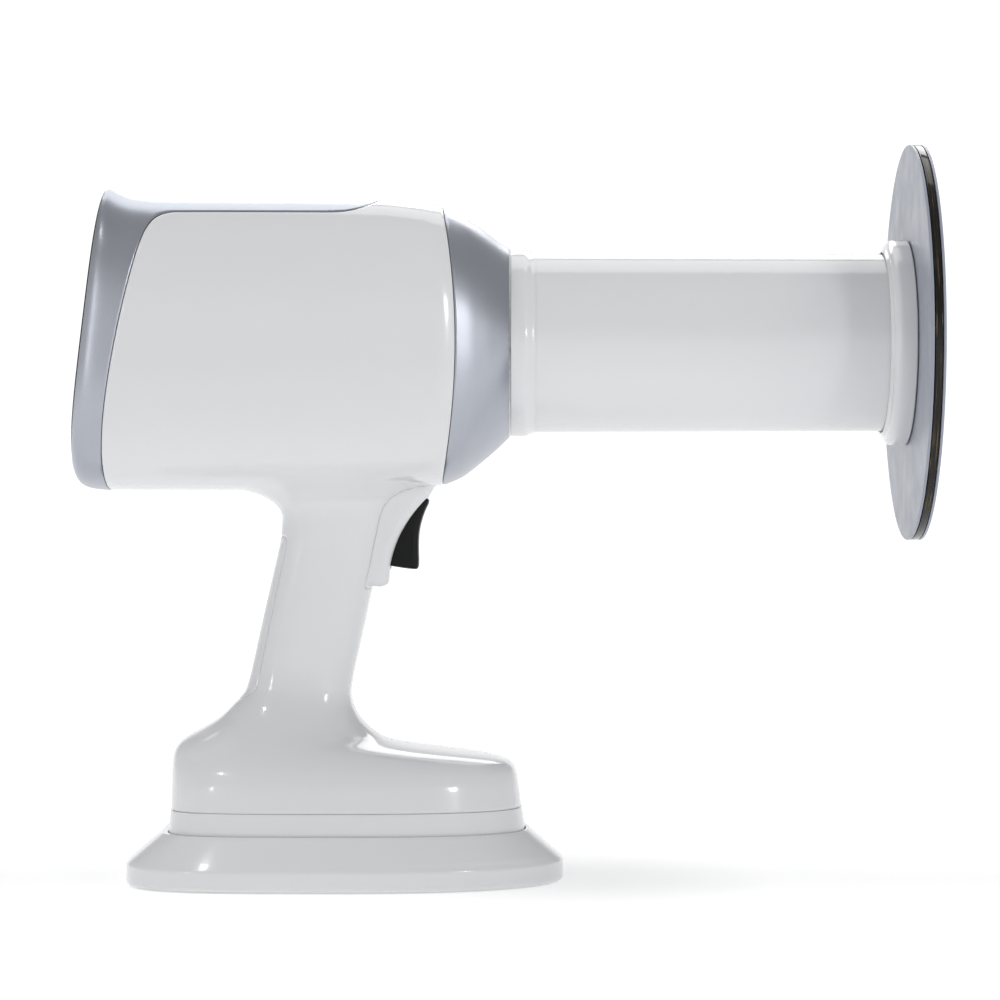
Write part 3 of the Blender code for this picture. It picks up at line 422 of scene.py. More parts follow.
def outline_field(outline, u, v):
    """Signed distance from a closed outline in a plane, negative inside."""
    nearest = np.full(np.broadcast(u, v).shape, 1.0)
    crossings = np.zeros(nearest.shape, int)
    for (ua, va), (ub, vb) in zip(outline, (*outline[1:], outline[0])):
        du, dv = ub - ua, vb - va
        share = np.clip(((u - ua) * du + (v - va) * dv) / (du * du + dv * dv), 0, 1)
        nearest = np.minimum(nearest, np.hypot(u - ua - share * du, v - va - share * dv))
        if abs(dv) > 1e-12:
            spans = (va > v) != (vb > v)
            crossings += spans & (u < ua + du * (v - va) / dv)
    return np.where(crossings % 2 == 1, -nearest, nearest)


def rounded_outline(outline, rounds=2):
    """Corners of an outline cut again and again, which leaves smooth curves."""
    points = np.array(outline)
    for _ in range(rounds):
        following = np.roll(points, -1, axis=0)
        points = np.stack([0.75 * points + 0.25 * following,
                           0.25 * points + 0.75 * following], 1).reshape(-1, 2)
    return [tuple(point) for point in points]


def housing_field(x, y, z):
    """The housing that carries the trigger in front of the grip."""
    side = np.abs(y) - HOUSING_HALF_WIDTH
    return smooth_max(outline_field(HOUSING_CURVE, x, z), side, HOUSING_ROUND)


def body_field(x, y, z):
    """Head, grip, foot and trigger housing as one form."""
    grip = np.maximum(level_field(GRIP, x, y, z), z - GRIP_TOP)
    form = smooth_min(head_field(x, y, z), grip, GRIP_FILLET)
    return smooth_min(form, housing_field(x, y, z), HOUSING_FILLET)


def trigger_field(x, y, z):
    """The trigger, with its front edges rounded for the finger."""
    side = np.abs(y) - TRIGGER_HALF_WIDTH
    return smooth_max(outline_field(TRIGGER_CURVE, x, z), side, TRIGGER_ROUND)


HOUSING_CURVE = rounded_outline(HOUSING_OUTLINE)
TRIGGER_CURVE = rounded_outline(TRIGGER_OUTLINE)


# ---------------------------------------------------------------- skins from fields

def settle(points, field, rounds=2):
    """Moves points onto the zero level of a field; returns them with the unit normals."""
    for turn in range(rounds + 1):
        slope = np.stack([(field(*(points + move).T) - field(*(points - move).T)) / (2 * TINY)
                          for move in TINY * np.eye(3)], 1)
        steep = (slope ** 2).sum(1)
        if turn < rounds:
            points = points - (field(*points.T) / steep)[:, None] * slope
    return points, slope / np.sqrt(steep)[:, None]


def relaxed(points, faces):
    """Each point moved to the middle of its faces, which evens out the mesh."""
    middles = points[faces].mean(1)
    total = np.zeros_like(points)
    count = np.zeros(len(points))
    for column in faces.T:
        np.add.at(total, column, middles)
        np.add.at(count, column, 1)
    return np.where(count[:, None] > 0, total / np.maximum(count, 1)[:, None], points)


def skin(field, low, high, step):
    """Points and quads of a field's zero level, on a grid of the given step."""
    axes = [np.arange(a, b + step, step) for a, b in zip(low, high)]
    shape = [len(axis) for axis in axes]
    values = np.broadcast_to(field(*np.meshgrid(*axes, indexing="ij", sparse=True)), shape)
    inside = values < 0
    ends = (slice(0, -1), slice(1, None))
    corner = [(ends[a], ends[b], ends[c]) for a in (0, 1) for b in (0, 1) for c in (0, 1)]
    count = sum(inside[at].astype(np.int8) for at in corner)
    cells = np.argwhere((count > 0) & (count < 8))
    names = np.full([size - 1 for size in shape], -1)
    names[tuple(cells.T)] = np.arange(len(cells))
    points = np.array([axis[0] for axis in axes]) + (cells + 0.5) * step
    quads = []
    for a, b, c in ((0, 1, 2), (1, 2, 0), (2, 0, 1)):
        below = tuple(ends[0] if axis == a else slice(None) for axis in range(3))
        above = tuple(ends[1] if axis == a else slice(None) for axis in range(3))
        edge = np.argwhere(inside[below] != inside[above])
        keep = (edge[:, b] > 0) & (edge[:, c] > 0)
        keep &= (edge[:, b] < shape[b] - 1) & (edge[:, c] < shape[c] - 1)
        edge = edge[keep]
        ring = []
        for back_b, back_c in ((1, 1), (0, 1), (0, 0), (1, 0)):
            cell = edge.copy()
            cell[:, b] -= back_b
            cell[:, c] -= back_c
            ring.append(names[tuple(cell.T)])
        quad = np.stack(ring, 1)
        outward = inside[tuple(edge.T)]
        quads.append(np.where(outward[:, None], quad, quad[:, ::-1]))
    faces = np.concatenate(quads)
    for _ in range(2):
        points = relaxed(settle(points, field, 1)[0], faces)
    return settle(points, field)[0], faces


def divided(points, faces, values, level):
    """Cuts faces along the line where values reach level; returns points, faces and values."""
    points = list(points)
    values = list(values)
    made = {}
    out = []

    def crossing(i, j):
        key = (min(i, j), max(i, j))
        if key not in made:
            share = (level - values[i]) / (values[j] - values[i])
            made[key] = len(points)
            points.append(points[i] + share * (points[j] - points[i]))
            values.append(level)
        return made[key]

    for face in faces:
        sides = [values[i] - level for i in face]
        if min(sides) >= -1e-9 or max(sides) <= 1e-9:
            out.append(face)
            continue
        upper, lower = [], []
        for i, j, here, there in zip(face, (*face[1:], face[0]), sides,
                                     (*sides[1:], sides[0])):
            if here >= -1e-9:
                upper.append(i)
            if here <= 1e-9:
                lower.append(i)
            if (here > 1e-9 and there < -1e-9) or (here < -1e-9 and there > 1e-9):
                cross = crossing(i, j)
                upper.append(cross)
                lower.append(cross)
        out += [tuple(half) for half in (upper, lower) if len(half) > 2]
    return np.array(points), out, np.array(values)


def moulding(name, base, limits, surface):
    """A closed moulding from the part of a skin where every limit field is positive."""
    points, quads = base
    near = np.ones(len(quads), bool)
    for limit in limits:
        near &= limit(*points.T)[quads].max(1) > 0
    faces = [tuple(face) for face in quads[near].tolist()]
    for limit in limits:
        points, faces, values = divided(points, faces, limit(*points.T), 0.0)
        faces = [face for face in faces if np.mean(values[list(face)]) > 0]
        points, faces, values = divided(points, faces, values, EDGE)
    used = sorted({i for face in faces for i in face})
    index = {old: new for new, old in enumerate(used)}
    points, normals = settle(points[used], body_field, 1)
    faces = [tuple(index[i] for i in face) for face in faces]
    drop = np.zeros(len(points))
    for limit in limits:
        drop = np.maximum(drop, 0.7 * np.clip(EDGE - limit(*points.T), 0, EDGE))
    outer = points - normals * drop[:, None]
    inner = points - normals * WALL
    count = len(points)
    once = {}
    for face in faces:
        for i, j in zip(face, (*face[1:], face[0])):
            once[(i, j)] = (j, i) not in once
            if not once[(i, j)]:
                once[(j, i)] = False
    rim = [(j, i, i + count, j + count) for (i, j), lone in once.items() if lone]
    back = [tuple(i + count for i in reversed(face)) for face in faces]
    return new_piece(name, np.concatenate([outer, inner]), faces + back + rim, surface)


# ---------------------------------------------------------------- mesh helpers

def new_piece(name, points, faces, surface, sharp=SHARP):
    """A mesh object with its material, shaded smooth but for its sharp edges."""
    mesh = bpy.data.meshes.new(name)
    mesh.from_pydata([tuple(point) for point in points], [], faces)
    return finished(name, mesh, surface, sharp)


def finished(name, mesh, surface, sharp=SHARP):
    """Welds a mesh, turns its faces outwards and links it."""
    bm = bmesh.new()
    bm.from_mesh(mesh)
    bmesh.ops.remove_doubles(bm, verts=bm.verts, dist=2e-7)
    bmesh.ops.recalc_face_normals(bm, faces=bm.faces)
    bm.to_mesh(mesh)
    bm.free()
    mesh.materials.clear()
    mesh.materials.append(surface)
    mesh.shade_smooth()
    mesh.set_sharp_from_angle(angle=math.radians(sharp))
    made = bpy.data.objects.new(name, mesh)
    bpy.context.scene.collection.objects.link(made)
    return made


def stands_for(piece, node):
    """The piece rides where a CAD node rides and replaces it."""
    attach(piece, BODY_OF[node])
    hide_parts(node)


def superellipse(count, power_front, power_rear):
    """Points round a unit superellipse, whose squareness may differ front and rear."""
    turn = 2 * np.pi * np.arange(count) / count
    c, s = np.cos(turn), np.sin(turn)
    power = np.where(c >= 0, power_front, power_rear)
    return np.sign(c) * np.abs(c) ** (2 / power), np.sign(s) * np.abs(s) ** (2 / power)


def level_ring(table, z, inset=0.0, height=None):
    """One level section of a table, moved in by inset."""
    rear, front, half_width, power_rear, power_front = read(table, z, 0, 1, 2, 3, 4)
    along, across = superellipse(ROUND_STEPS, power_front, power_rear)
    x = (rear + front) / 2 + ((front - rear) / 2 - inset) * along
    y = (half_width - inset) * across
    return np.stack([x, y, np.full(ROUND_STEPS, z if height is None else height)], 1)


def head_ring(key, inset):
    """One section of the head, moved in by inset."""
    lean, bow, top, bottom, half_width, power = read(HEAD, key, 0, 1, 2, 3, 4, 5)
    across, up = superellipse(ROUND_STEPS, power, power)
    z = (top + bottom) / 2 + ((top - bottom) / 2 - inset) * up
    x = key + lean * (z - AXIS_Z) + bow * up * up
    return np.stack([x, (half_width - inset) * across, z], 1)


def loft(name, rings, surface):
    """A closed piece through rings of equal count, its ends filled as flat fans."""
    count = len(rings[0])
    points = np.concatenate([*rings, [rings[0].mean(0)], [rings[-1].mean(0)]])
    first = len(points) - 2
    last = len(points) - 1
    faces = []
    for k in range(count):
        j = (k + 1) % count
        for row in range(len(rings) - 1):
            a, b = row * count, (row + 1) * count
            faces.append((a + k, a + j, b + j, b + k))
        end = (len(rings) - 1) * count
        faces += [(first, j, k), (last, end + k, end + j)]
    return new_piece(name, points, faces, surface)


def arc(centre, radius, start, end, steps=6):
    """Points along an arc in a profile's plane, angles in degrees."""
    turn = np.radians(np.linspace(start, end, steps + 1))
    return [(centre[0] + radius * math.cos(t), centre[1] + radius * math.sin(t)) for t in turn]


def turned(name, profile, surface, centre=(0, 0, AXIS_Z), steps=ROUND_STEPS):
    """A closed profile of (x, radius) turned about the beam axis through centre."""
    points = []
    for step in range(steps):
        turn = 2 * math.pi * step / steps
        points += [(centre[0] + x, centre[1] + r * math.cos(turn),
                    centre[2] + r * math.sin(turn)) for x, r in profile]
    count = len(profile)
    faces = []
    for step in range(steps):
        a, b = step * count, ((step + 1) % steps) * count
        faces += [(a + k, a + (k + 1) % count, b + (k + 1) % count, b + k)
                  for k in range(count)]
    return new_piece(name, points, faces, surface)


def carve(piece, cutter):
    """Cuts one piece out of another and removes the cutter."""
    step = piece.modifiers.new("carve", "BOOLEAN")
    step.operation = "DIFFERENCE"
    step.object = cutter
    graph = bpy.context.evaluated_depsgraph_get()
    mesh = bpy.data.meshes.new_from_object(piece.evaluated_get(graph))
    piece.modifiers.clear()
    piece.data = mesh
    mesh.set_sharp_from_angle(angle=math.radians(SHARP))
    bpy.data.objects.remove(cutter, do_unlink=True)


def rounded_box(name, low, high, radius, surface, place=None, segments=4):
    """A box with rounded edges, placed by a matrix."""
    bm = bmesh.new()
    bmesh.ops.create_cube(bm, size=1.0)
    bmesh.ops.scale(bm, vec=Vector(high) - Vector(low), verts=bm.verts)
    bmesh.ops.translate(bm, vec=(Vector(high) + Vector(low)) / 2, verts=bm.verts)
    if radius:
        bmesh.ops.bevel(bm, geom=bm.edges[:], offset=radius, segments=segments, profile=0.5,
                        affect="EDGES")
    if place:
        bmesh.ops.transform(bm, matrix=place, verts=bm.verts)
    mesh = bpy.data.meshes.new(name)
    bm.to_mesh(mesh)
    bm.free()
    return finished(name, mesh, surface)


# ---------------------------------------------------------------- limits of the mouldings

def bezel_side(x, y, z):
    """Distance into the bezel: behind the rear seam, or within the tongue on top."""
    rise = np.maximum(0.0, (z - SEAM_FOOT[1]) / SEAM_RISE)
    behind = SEAM_FOOT[0] + SEAM_SWEEP * rise ** SEAM_POWER - x
    nose = np.maximum(0.0, (x - TONGUE_TIP + TONGUE_NOSE) / TONGUE_NOSE)
    reach = ((np.abs(y) / TONGUE_HALF_WIDTH) ** 3 + nose ** 3) ** (1 / 3)
    tongue = np.where(z > TONGUE_FOOT_Z, TONGUE_HALF_WIDTH * (1 - reach), -1.0)
    return smooth_max(behind, tongue, SEAM_CORNER)


def strap_side(x, y, z):
    """Distance into the strap on the back of the grip."""
    return -outline_field(STRAP_OUTLINE, x, z)


def housing_side(x, y, z):
    """Distance into the part of the form that belongs to the trigger housing."""
    return np.minimum(HOUSING_SEAM_Y - np.abs(y), -outline_field(HOUSING_PATCH, x, z))


def outside_slot(x, y, z):
    """Distance from the slot that the trigger works in."""
    across = np.maximum(np.abs(y) - SLOT_HALF_WIDTH, -x)
    return np.maximum(across, np.maximum(SLOT_Z[0] - z, z - SLOT_Z[1]))


def outside_wells(x, y, z):
    """Distance from the screw wells, which open on the operator's left."""
    wells = [SCREW_AT[name] for name in SHELL_SCREWS]
    far = np.minimum.reduce([np.hypot(x - u, z - v) - SCREW_WELL for u, v in wells])
    return np.where(y > 0, far, 1.0)


SHELL_SCREWS = sorted(name for name in NODES if name.startswith("shell_screw"))
SCREW_AT = {name: ((BOX[name][0].x + BOX[name][1].x) / 2, (BOX[name][0].z + BOX[name][1].z) / 2)
            for name in SHELL_SCREWS}

body_skin = skin(body_field, *SKIN_ROOM, SKIN_STEP)


def shell_limits(side):
    """Limits of the white shell on one side: +1 for the operator's left."""
    limits = [
        lambda x, y, z: side * y - GAP / 2,
        lambda x, y, z: np.where(z > HEAD_FOOT, FRONT_SEAM - head_station(x, z), 1.0),
        lambda x, y, z: -bezel_side(x, y, z) - GAP,
        lambda x, y, z: -strap_side(x, y, z) - FINE_GAP,
        lambda x, y, z: -housing_side(x, y, z) - FINE_GAP,
        outside_slot,
        lambda x, y, z: z - FOOT_Z,
    ]
    return limits + ([outside_wells] if side > 0 else [])


right_shell = moulding("body_shell_right", body_skin, shell_limits(-1), WHITE)
stands_for(right_shell, "right_body_shell")
left_shell = moulding("body_shell_left", body_skin, shell_limits(1), WHITE)
stands_for(left_shell, "left_body_shell")
bezel = moulding("bezel_silver", body_skin, [
    bezel_side,
    lambda x, y, z: head_station(x, z) - HEAD_REAR - BEZEL_START,
], SILVER)
stands_for(bezel, "rear_bezel")
cone = moulding("cone_silver", body_skin, [
    lambda x, y, z: np.where(z > HEAD_FOOT, head_station(x, z) - FRONT_SEAM - GAP, -1.0),
    lambda x, y, z: HEAD_FRONT - x,
], SILVER)
stands_for(cone, "front_cone")
strap = moulding("grip_strap", body_skin, [strap_side], WHITE)
stands_for(strap, "grip_backstrap")
housing = moulding("trigger_guard_housing", body_skin, [housing_side, outside_slot], WHITE)
stands_for(housing, "trigger_housing")


# ---------------------------------------------------------------- trigger and its spring

lever_points, lever_faces = skin(trigger_field, *TRIGGER_ROOM, FINE_STEP)
lever = new_piece("trigger_lever", lever_points, lever_faces.tolist(), BLACK, 45)
stands_for(lever, "trigger")

COIL_TURNS = 5
COIL_STEPS = 24        # rings to each turn
COIL_SIDES = 8         # points to each ring
COIL_WIRE = 0.00033    # radius of the wire


def coil_spring(name, low, high):
    """A closed coil of round wire along X, within a box."""
    radius = (high.z - low.z) / 2 - COIL_WIRE - 0.0001
    middle_z = (low.z + high.z) / 2
    rings = COIL_STEPS * COIL_TURNS + 1
    side = 2 * np.pi * np.arange(COIL_SIDES) / COIL_SIDES
    out = radius + COIL_WIRE * np.cos(side)
    points = [np.stack([along + COIL_WIRE * np.sin(side), out * math.cos(turn),
                        middle_z + out * math.sin(turn)], 1)
              for along, turn in zip(np.linspace(low.x + COIL_WIRE, high.x - COIL_WIRE, rings),
                                     np.linspace(0.0, 2 * np.pi * COIL_TURNS, rings))]
    here = np.arange(COIL_SIDES)
    there = (here + 1) % COIL_SIDES
    strip = np.stack([here, there, there + COIL_SIDES, here + COIL_SIDES], 1)
    faces = [face for k in range(rings - 1) for face in (strip + COIL_SIDES * k).tolist()]
    faces += [here.tolist(), (here + COIL_SIDES * (rings - 1)).tolist()]
    return new_piece(name, np.concatenate(points), faces, STEEL)


spring_low, spring_high = BOX["trigger_spring"]
coil = coil_spring("trigger_coil", spring_low, spring_high)
stands_for(coil, "trigger_spring")
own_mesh(coil)


# ---------------------------------------------------------------- turned pieces on the beam

ring_low, ring_high = BOX["tube_base_ring"]
RING_RADIUS = ring_high.y
TUBE_REAR_RADIUS = BOX["beam_tube"][1].y
TUBE_FRONT_RADIUS = 0.0336
ring_rear = HEAD_FRONT + 0.0001
ring_shoulder = ring_low.x + 0.0045
ring_profile = [(ring_rear, TUBE_REAR_RADIUS + 0.0001), (ring_rear, RING_RADIUS - 0.0003),
                (ring_rear + 0.0002, RING_RADIUS - 0.0001), (ring_rear + 0.0005, RING_RADIUS),
                (ring_shoulder - 0.0010, RING_RADIUS)]
for share in np.linspace(0, 1, 16):
    fall = 0.5 - 0.5 * math.cos(math.pi * share)
    ring_profile.append((ring_shoulder + share * (ring_high.x - ring_shoulder),
                         RING_RADIUS - fall * (RING_RADIUS - TUBE_REAR_RADIUS - 0.0001)))
stands_for(turned("beam_base_ring", ring_profile, WHITE), "tube_base_ring")

tube_low, tube_high = BOX["beam_tube"]
tube_profile = [(tube_low.x, TUBE_REAR_RADIUS - 0.0025), (tube_low.x, TUBE_REAR_RADIUS)]
tube_profile += [(tube_low.x + share * (tube_high.x - 0.0006 - tube_low.x),
                  TUBE_REAR_RADIUS + share * (TUBE_FRONT_RADIUS - TUBE_REAR_RADIUS))
                 for share in np.linspace(0.1, 0.9, 9)]
tube_profile += arc((tube_high.x - 0.0006, TUBE_FRONT_RADIUS - 0.0006), 0.0006, 90, 0)
tube_profile += [(tube_high.x, TUBE_FRONT_RADIUS - 0.0018),
                 (tube_high.x - 0.0004, TUBE_FRONT_RADIUS - 0.0022)]
stands_for(turned("beam_tube_skin", tube_profile, WHITE), "beam_tube")

liner_low, liner_high = BOX["tube_liner"]
LINER_RADIUS = liner_high.y
liner_profile = [(liner_low.x, LINER_RADIUS - 0.0010), (liner_low.x, LINER_RADIUS),
                 (liner_high.x, LINER_RADIUS), (liner_high.x, LINER_RADIUS - 0.0007),
                 (liner_high.x - 0.0003, LINER_RADIUS - 0.0010)]
stands_for(turned("beam_tube_liner", liner_profile, LEAD), "tube_liner")

hub_low, hub_high = BOX["shield_hub"]
HUB_RADIUS = hub_high.y
HUB_BORE = 0.0343
SPIGOT = 0.0362
shoulder = BOX["shield_rear_plate"][0].x - GAP
groove_low, groove_high = BOX["friction_ring"][0].x - GAP, BOX["friction_ring"][1].x + GAP
hub_profile = [(hub_low.x + 0.0003, HUB_BORE), (hub_low.x + 0.0001, HUB_BORE + 0.0001),
               (hub_low.x, HUB_BORE + 0.0004), (hub_low.x + 0.0002, HUB_BORE + 0.0008)]
hub_profile += arc((hub_low.x + 0.0043, HUB_RADIUS - 0.0032), 0.0032, 178, 90, 12)
hub_profile += arc((shoulder - 0.0007, HUB_RADIUS - 0.0007), 0.0007, 90, 0)
hub_profile += [(shoulder, SPIGOT), (hub_high.x, SPIGOT), (hub_high.x, HUB_BORE),
                (groove_high, HUB_BORE), (groove_high, HUB_BORE + 0.0015),
                (groove_low, HUB_BORE + 0.0015), (groove_low, HUB_BORE)]
stands_for(turned("shield_collar", hub_profile, WHITE), "shield_hub")

for name, node, surface, edge in (("shield_skin_rear", "shield_rear_plate", GREY, 0.0003),
                                  ("shield_lead_core", "shield_core", LEAD_ACRYLIC, 0.0004),
                                  ("shield_skin_front", "shield_front_plate", GREY, 0.0003)):
    low, high = BOX[node]
    disc = [(high.x, SPIGOT + GAP), (low.x, SPIGOT + GAP), (low.x, high.y - 0.004)]
    disc += arc((low.x + edge, high.y - edge), edge, 180, 90, 4)
    disc += arc((high.x - edge, high.y - edge), edge, 90, 0, 4)
    disc += [(high.x, high.y - 0.004)]
    stands_for(turned(name, disc, surface, steps=220), node)


# ---------------------------------------------------------------- foot base and cradle

BASE_TOP = BASE_STATIONS[0][0]
base_levels = [0.02853, 0.0284, 0.0280, 0.0250, 0.0220, 0.0190, 0.0160, 0.0135, 0.0122, 0.0112,
               0.0106, 0.0103]
base_insets = [0.0001, 0.0] + [0.0] * 8 + [0.0002, 0.0008]
foot_base = loft("foot_tray", [level_ring(BASE, min(z, BASE_TOP), inset, z)
                               for z, inset in zip(base_levels, base_insets)], WHITE)
for node in ("charge_contact_1", "charge_contact_2"):
    low, high = BOX[node]
    slack = Vector((GAP, GAP, 0))
    carve(foot_base, rounded_box("pocket", low - slack - Vector((0, 0, 0.004)), high + slack, 0,
                                 WHITE))
stands_for(foot_base, "foot_base")

WELL_FLOOR = 0.0100
RECESS_TOP = 0.0035
rim = CRADLE_STATIONS[0][0]
well = [level_ring(BASE, z, -0.0002) for z in (WELL_FLOOR, 0.0120, 0.0160, rim - 0.0006)]
lip = [level_ring(BASE, rim - 0.0002, -0.00025), level_ring(BASE, rim, -0.00045)]
skirt = [level_ring(CRADLE, z) for z in np.concatenate([
    np.linspace(rim, 0.0186, 6), np.linspace(0.0176, 0.0120, 8),
    np.linspace(0.0114, 0.0060, 28), np.linspace(0.0045, 0.0008, 7)])]
recess = [level_ring(CRADLE, 0.0008, 0.0018), level_ring(CRADLE, RECESS_TOP, 0.0018, RECESS_TOP)]
cradle = loft("cradle_body", [*well, *lip, *skirt, *recess], WHITE)
low, high = BOX["power_inlet"]
carve(cradle, rounded_box("inlet_mouth", (low.x - 0.0004, low.y - 0.002, 0.0012),
                          (high.x + 0.0004, 0.060, high.z + 0.0004), 0.0008, WHITE))
stands_for(cradle, "cradle_shell")


# ---------------------------------------------------------------- rear panel and keys

PANEL_PLACE = (Matrix.Translation((HEAD_REAR, 0, AXIS_Z))
               @ Matrix.Rotation(PANEL_TILT, 4, "Y"))
INTO_PANEL = PANEL_PLACE.inverted()
PANEL_EDGE = ((0.0032, 0.0), (0.0016, 0.0001), (0.0012, 0.0003), (0.0010, 0.0007),
              (0.0010, 0.0018), (0.0033, 0.0019), (0.0033, 0.0030))
panel = loft("control_panel_film",
             [head_ring(HEAD_REAR + depth, inset) for inset, depth in PANEL_EDGE], PANEL)
WINDOW_SIZE = (0.050, 0.038)
WINDOW_Z = 0.024


def window_box(name, near, far, shrink, radius, surface):
    """A slab with the display window's outline, its corners rounded in the panel's plane."""
    half_y, half_z = WINDOW_SIZE[0] / 2 - shrink, WINDOW_SIZE[1] / 2 - shrink
    corners = [(half_y - radius, half_z - radius, 0), (radius - half_y, half_z - radius, 90),
               (radius - half_y, radius - half_z, 180), (half_y - radius, radius - half_z, 270)]
    outline = [point for y, z, start in corners
               for point in arc((y, z), radius, start, start + 90, 8)]
    rings = [np.array([PANEL_PLACE @ Vector((x, y * scale, WINDOW_Z + z * scale))
                       for y, z in outline])
             for x, scale in ((near, 0.994), (near + 0.0002, 1.0), (far, 1.0))]
    return loft(name, rings, surface)


carve(panel, window_box("window_hole", -0.004, 0.008, 0.0, 0.0022, PANEL))
display = window_box("display_cover", 0.0003, 0.0018, GAP, 0.0020, GLASS)
stands_for(display, "display_window")


def key_sign(node, local):
    """The plain printed sign on a key: bars, an arrow head, or an open ring with a bar."""
    bars = {"minus_key": ((0, 0, 0, 0.0044),), "plus_key": ((0, 0, 0, 0.0044), (90, 0, 0, 0.0044)),
            "up_key": ((38, -0.0011, 0, 0.0032), (-38, 0.0011, 0, 0.0032)),
            "power_key": ((90, 0, 0.0013, 0.0026),)}
    signs = []
    for angle, y, z, length in bars[node]:
        place = (PANEL_PLACE @ Matrix.Translation((-0.00042, local.y + y, local.z + z))
                 @ Matrix.Rotation(math.radians(angle), 4, "X"))
        signs.append(rounded_box(node + "_sign", (-0.0001, -length / 2, -0.0003),
                                 (0.00008, length / 2, 0.0003), 0.00006, GLYPH, place, 2))
    if node == "power_key":
        rings = []
        for step in range(33):
            turn = math.radians(120 + 300 * step / 32)
            rings.append([PANEL_PLACE @ Vector((x, local.y + r * math.cos(turn),
                                                local.z + r * math.sin(turn)))
                          for x, r in ((-0.00052, 0.0019), (-0.00052, 0.0025),
                                       (-0.0003, 0.0025), (-0.0003, 0.0019))])
        signs.append(loft(node + "_sign", [np.array(ring) for ring in rings], GLYPH))
    return signs


KEY_NODES = ("power_key", "up_key", "minus_key", "plus_key")
KEY_RADIUS = 0.0058
for node in KEY_NODES:
    local = INTO_PANEL @ ((BOX[node][0] + BOX[node][1]) / 2)
    hole = turned("key_hole", [(-0.004, 0.0), (-0.004, KEY_RADIUS + GAP),
                               (0.008, KEY_RADIUS + GAP), (0.008, 0.0)], PANEL,
                  (0, local.y, local.z), 48)
    hole.data.transform(PANEL_PLACE)
    carve(panel, hole)
    cap = [(0.0046, 0.0), (0.0046, 0.0030), (0.0032, 0.0030), (0.0032, KEY_RADIUS)]
    cap += arc((0.0002, KEY_RADIUS - 0.0010), 0.0010, 90, 180)
    cap += [(-0.0005, KEY_RADIUS * 0.5), (-0.0004, 0.0)]
    key = turned(node + "_cap", cap, KEY, (0, local.y, local.z), 64)
    key.data.transform(PANEL_PLACE)
    stands_for(key, node)
    for glyph in key_sign(node, local):
        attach(glyph, BODY_OF[node])
stands_for(panel, "control_panel")


# ---------------------------------------------------------------- screw wells

for name in SHELL_SCREWS:
    u, v = SCREW_AT[name]
    probe = np.array([[u, y, v] for y in np.linspace(0.012, 0.045, 200)])
    mouth = probe[np.argmin(np.abs(body_field(*probe.T))), 1] - 0.0008
    profile = [(-mouth, SCREW_WELL), (-mouth, SCREW_WELL + 0.0008),
               (-0.0072, SCREW_WELL + 0.0008), (-0.0072, 0.0014), (-0.0080, 0.0014),
               (-0.0080, SCREW_WELL)]
    well_piece = turned(name + "_well", profile, WHITE, (0, 0, 0), 48)
    well_piece.data.transform(Matrix.Translation((u, 0, v))
                              @ Matrix.Rotation(-math.pi / 2, 4, "Z"))
    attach(well_piece, "handset")


# ---------------------------------------------------------------- edges of the plain CAD nodes

for node in ("cradle_pad", "charging_board", "display_module", "generator_tank", "battery_board",
             "charge_contact_1", "charge_contact_2", "power_inlet", "main_board"):
    soften = NODES[node].modifiers.new("edges", "BEVEL")
    soften.width = 0.0002
    soften.segments = 2
    soften.limit_method = "ANGLE"


# ---------------------------------------------------------------- camera, floor and light

FOCAL = 117.9
CAMERA_AT = (0.05834, -1.2468, 0.14459)
camera_data = bpy.data.cameras.new("camera")
camera_data.lens = FOCAL
camera_data.sensor_width = 36.0
camera_data.clip_end = 60.0
camera = bpy.data.objects.new("camera", camera_data)
camera.location = CAMERA_AT
camera.rotation_euler = (math.pi / 2, 0, 0)
bpy.context.scene.collection.objects.link(camera)
bpy.context.scene.camera = camera
bpy.context.scene.view_settings.view_transform = "Standard"


def sweep_floor():
    """A pale floor with a painted glow: emission that stands in for studio light, weaker near the
    object and brightening away from it.
    """
    glowing_floor_material, tree, shader = shader_nodes("studio_floor_painted_glow", (0.86, 0.86, 0.86), 0.9)
    shader.inputs["Specular IOR Level"].default_value = 0.0
    tone = mixed_colour(tree, noise(tree, 3, 2), (0.855, 0.855, 0.855), (0.865, 0.865, 0.865))
    tree.links.new(tone, shader.inputs["Base Color"])
    place = tree.nodes.new("ShaderNodeTexCoord")
    length = tree.nodes.new("ShaderNodeVectorMath")
    length.operation = "LENGTH"
    tree.links.new(place.outputs["Object"], length.inputs[0])
    # Painted glow: emission that stands in for light on the floor. It is weaker near the object,
    # so soft shade shows there, and stronger away from it.
    far = tree.nodes.new("ShaderNodeMapRange")
    far.interpolation_type = "SMOOTHSTEP"
    far.inputs["From Min"].default_value = 0.3
    far.inputs["From Max"].default_value = 2.2
    far.inputs["To Min"].default_value = 0.42
    far.inputs["To Max"].default_value = 0.80
    tree.links.new(length.outputs["Value"], far.inputs["Value"])
    shader.inputs["Emission Color"].default_value = (1, 1, 1, 1)
    tree.links.new(far.outputs["Result"], shader.inputs["Emission Strength"])
    half = 20.0
    plane = new_piece("floor", [(-half, -half, 0), (half, -half, 0), (half, half, 0),
                                (-half, half, 0)], [(0, 1, 2, 3)], glowing_floor_material)


def soft_box(name, azimuth, elevation, distance, size, power, mirrored=True, lighting=True):
    """A soft box aimed at the object; azimuth 0 is the camera's side, positive to its right."""
    aim = Vector((0.03, 0, 0.15))
    a, e = math.radians(azimuth), math.radians(elevation)
    away = Vector((math.sin(a) * math.cos(e), -math.cos(a) * math.cos(e), math.sin(e)))
    data = bpy.data.lights.new(name, "AREA")
    data.shape = "RECTANGLE"
    data.size, data.size_y = size
    data.energy = power
    made = bpy.data.objects.new(name, data)
    made.location = aim + away * distance
    made.rotation_euler = away.to_track_quat("Z", "Y").to_euler()
    made.visible_camera = False
    made.visible_glossy = mirrored
    made.visible_diffuse = lighting
    bpy.context.scene.collection.objects.link(made)


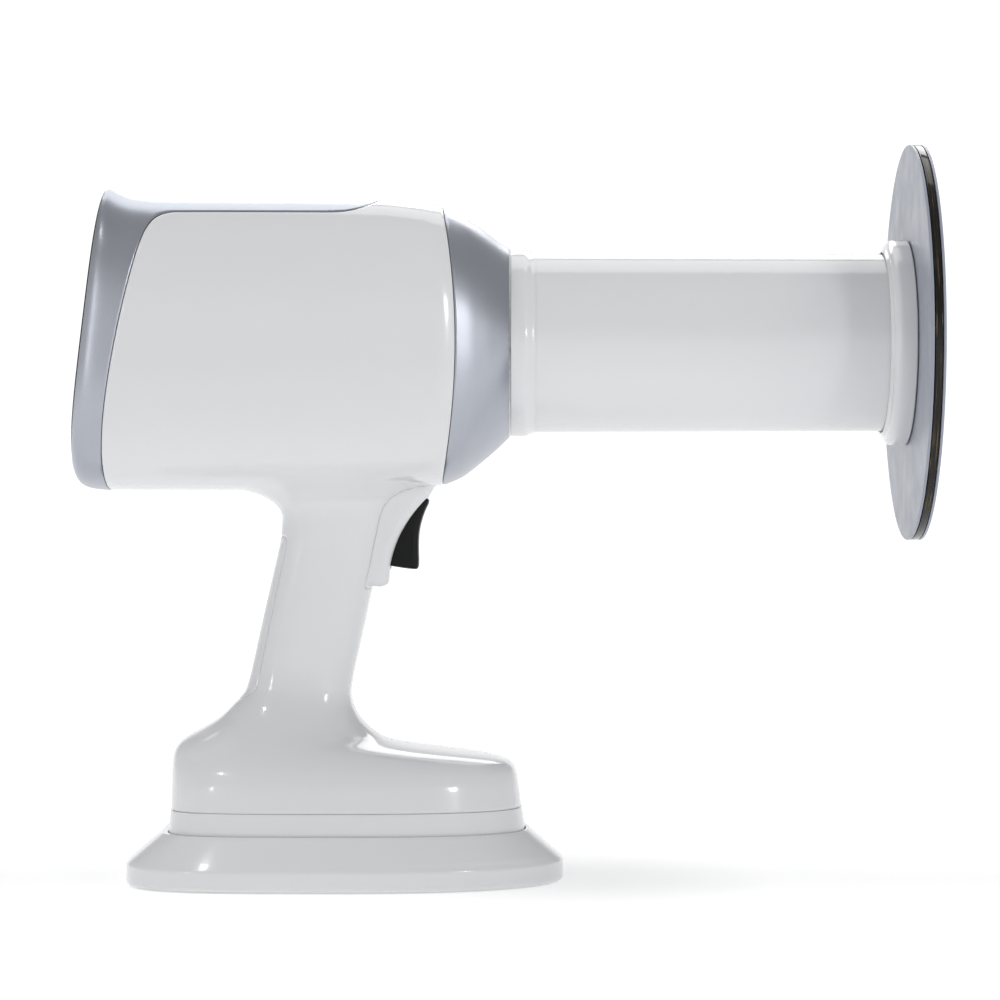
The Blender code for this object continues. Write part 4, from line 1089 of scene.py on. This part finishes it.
def studio_world():
    """A plain studio: white backdrop behind the object, grey walls, dim ceiling."""
    world = bpy.data.worlds.new("studio")
    world.use_nodes = True
    tree = world.node_tree
    background = tree.nodes["Background"]
    place = tree.nodes.new("ShaderNodeTexCoord")
    split = tree.nodes.new("ShaderNodeSeparateXYZ")
    tree.links.new(place.outputs["Generated"], split.inputs["Vector"])
    height = tree.nodes.new("ShaderNodeValToRGB")
    ramp = height.color_ramp
    ramp.interpolation = "EASE"
    levels = ((0.0, 0.86), (0.08, 0.80), (0.24, 0.46), (0.60, 0.38), (1.0, 0.42))
    ramp.elements[0].position, ramp.elements[1].position = levels[0][0], levels[-1][0]
    for position, _ in levels[1:-1]:
        ramp.elements.new(position)
    for element, (_, value) in zip(ramp.elements, levels):
        element.color = (value, value, value * 1.01, 1)
    tree.links.new(split.outputs["Z"], height.inputs["Fac"])
    depth = tree.nodes.new("ShaderNodeMapRange")
    depth.interpolation_type = "SMOOTHSTEP"
    depth.inputs["From Min"].default_value = 0.84
    depth.inputs["From Max"].default_value = 0.968
    tree.links.new(split.outputs["Y"], depth.inputs["Value"])
    blend = tree.nodes.new("ShaderNodeMix")
    blend.data_type = "RGBA"
    blend.inputs[7].default_value = (1.15, 1.15, 1.16, 1)
    tree.links.new(depth.outputs["Result"], blend.inputs[0])
    tree.links.new(height.outputs["Color"], blend.inputs[6])
    tree.links.new(blend.outputs[2], background.inputs["Color"])
    bpy.context.scene.world = world


sweep_floor()
studio_world()
soft_box("low_left", -37, 10, 1.6, (0.07, 0.24), 0.7)
soft_box("low_right", 37, 11, 1.6, (0.13, 0.18), 2.4)
soft_box("high_left", -36, 42, 1.6, (0.09, 0.09), 0.8)
soft_box("side_left", -88, 52, 1.6, (0.5, 0.5), 5.0, False)
soft_box("side_right", 88, 52, 1.6, (0.5, 0.5), 5.0, False)
soft_box("back", 180, 36, 1.7, (1.3, 0.62), 8.0, True, False)
soft_box("top_back", 180, 66, 1.7, (1.7, 0.9), 8.0, True, False)
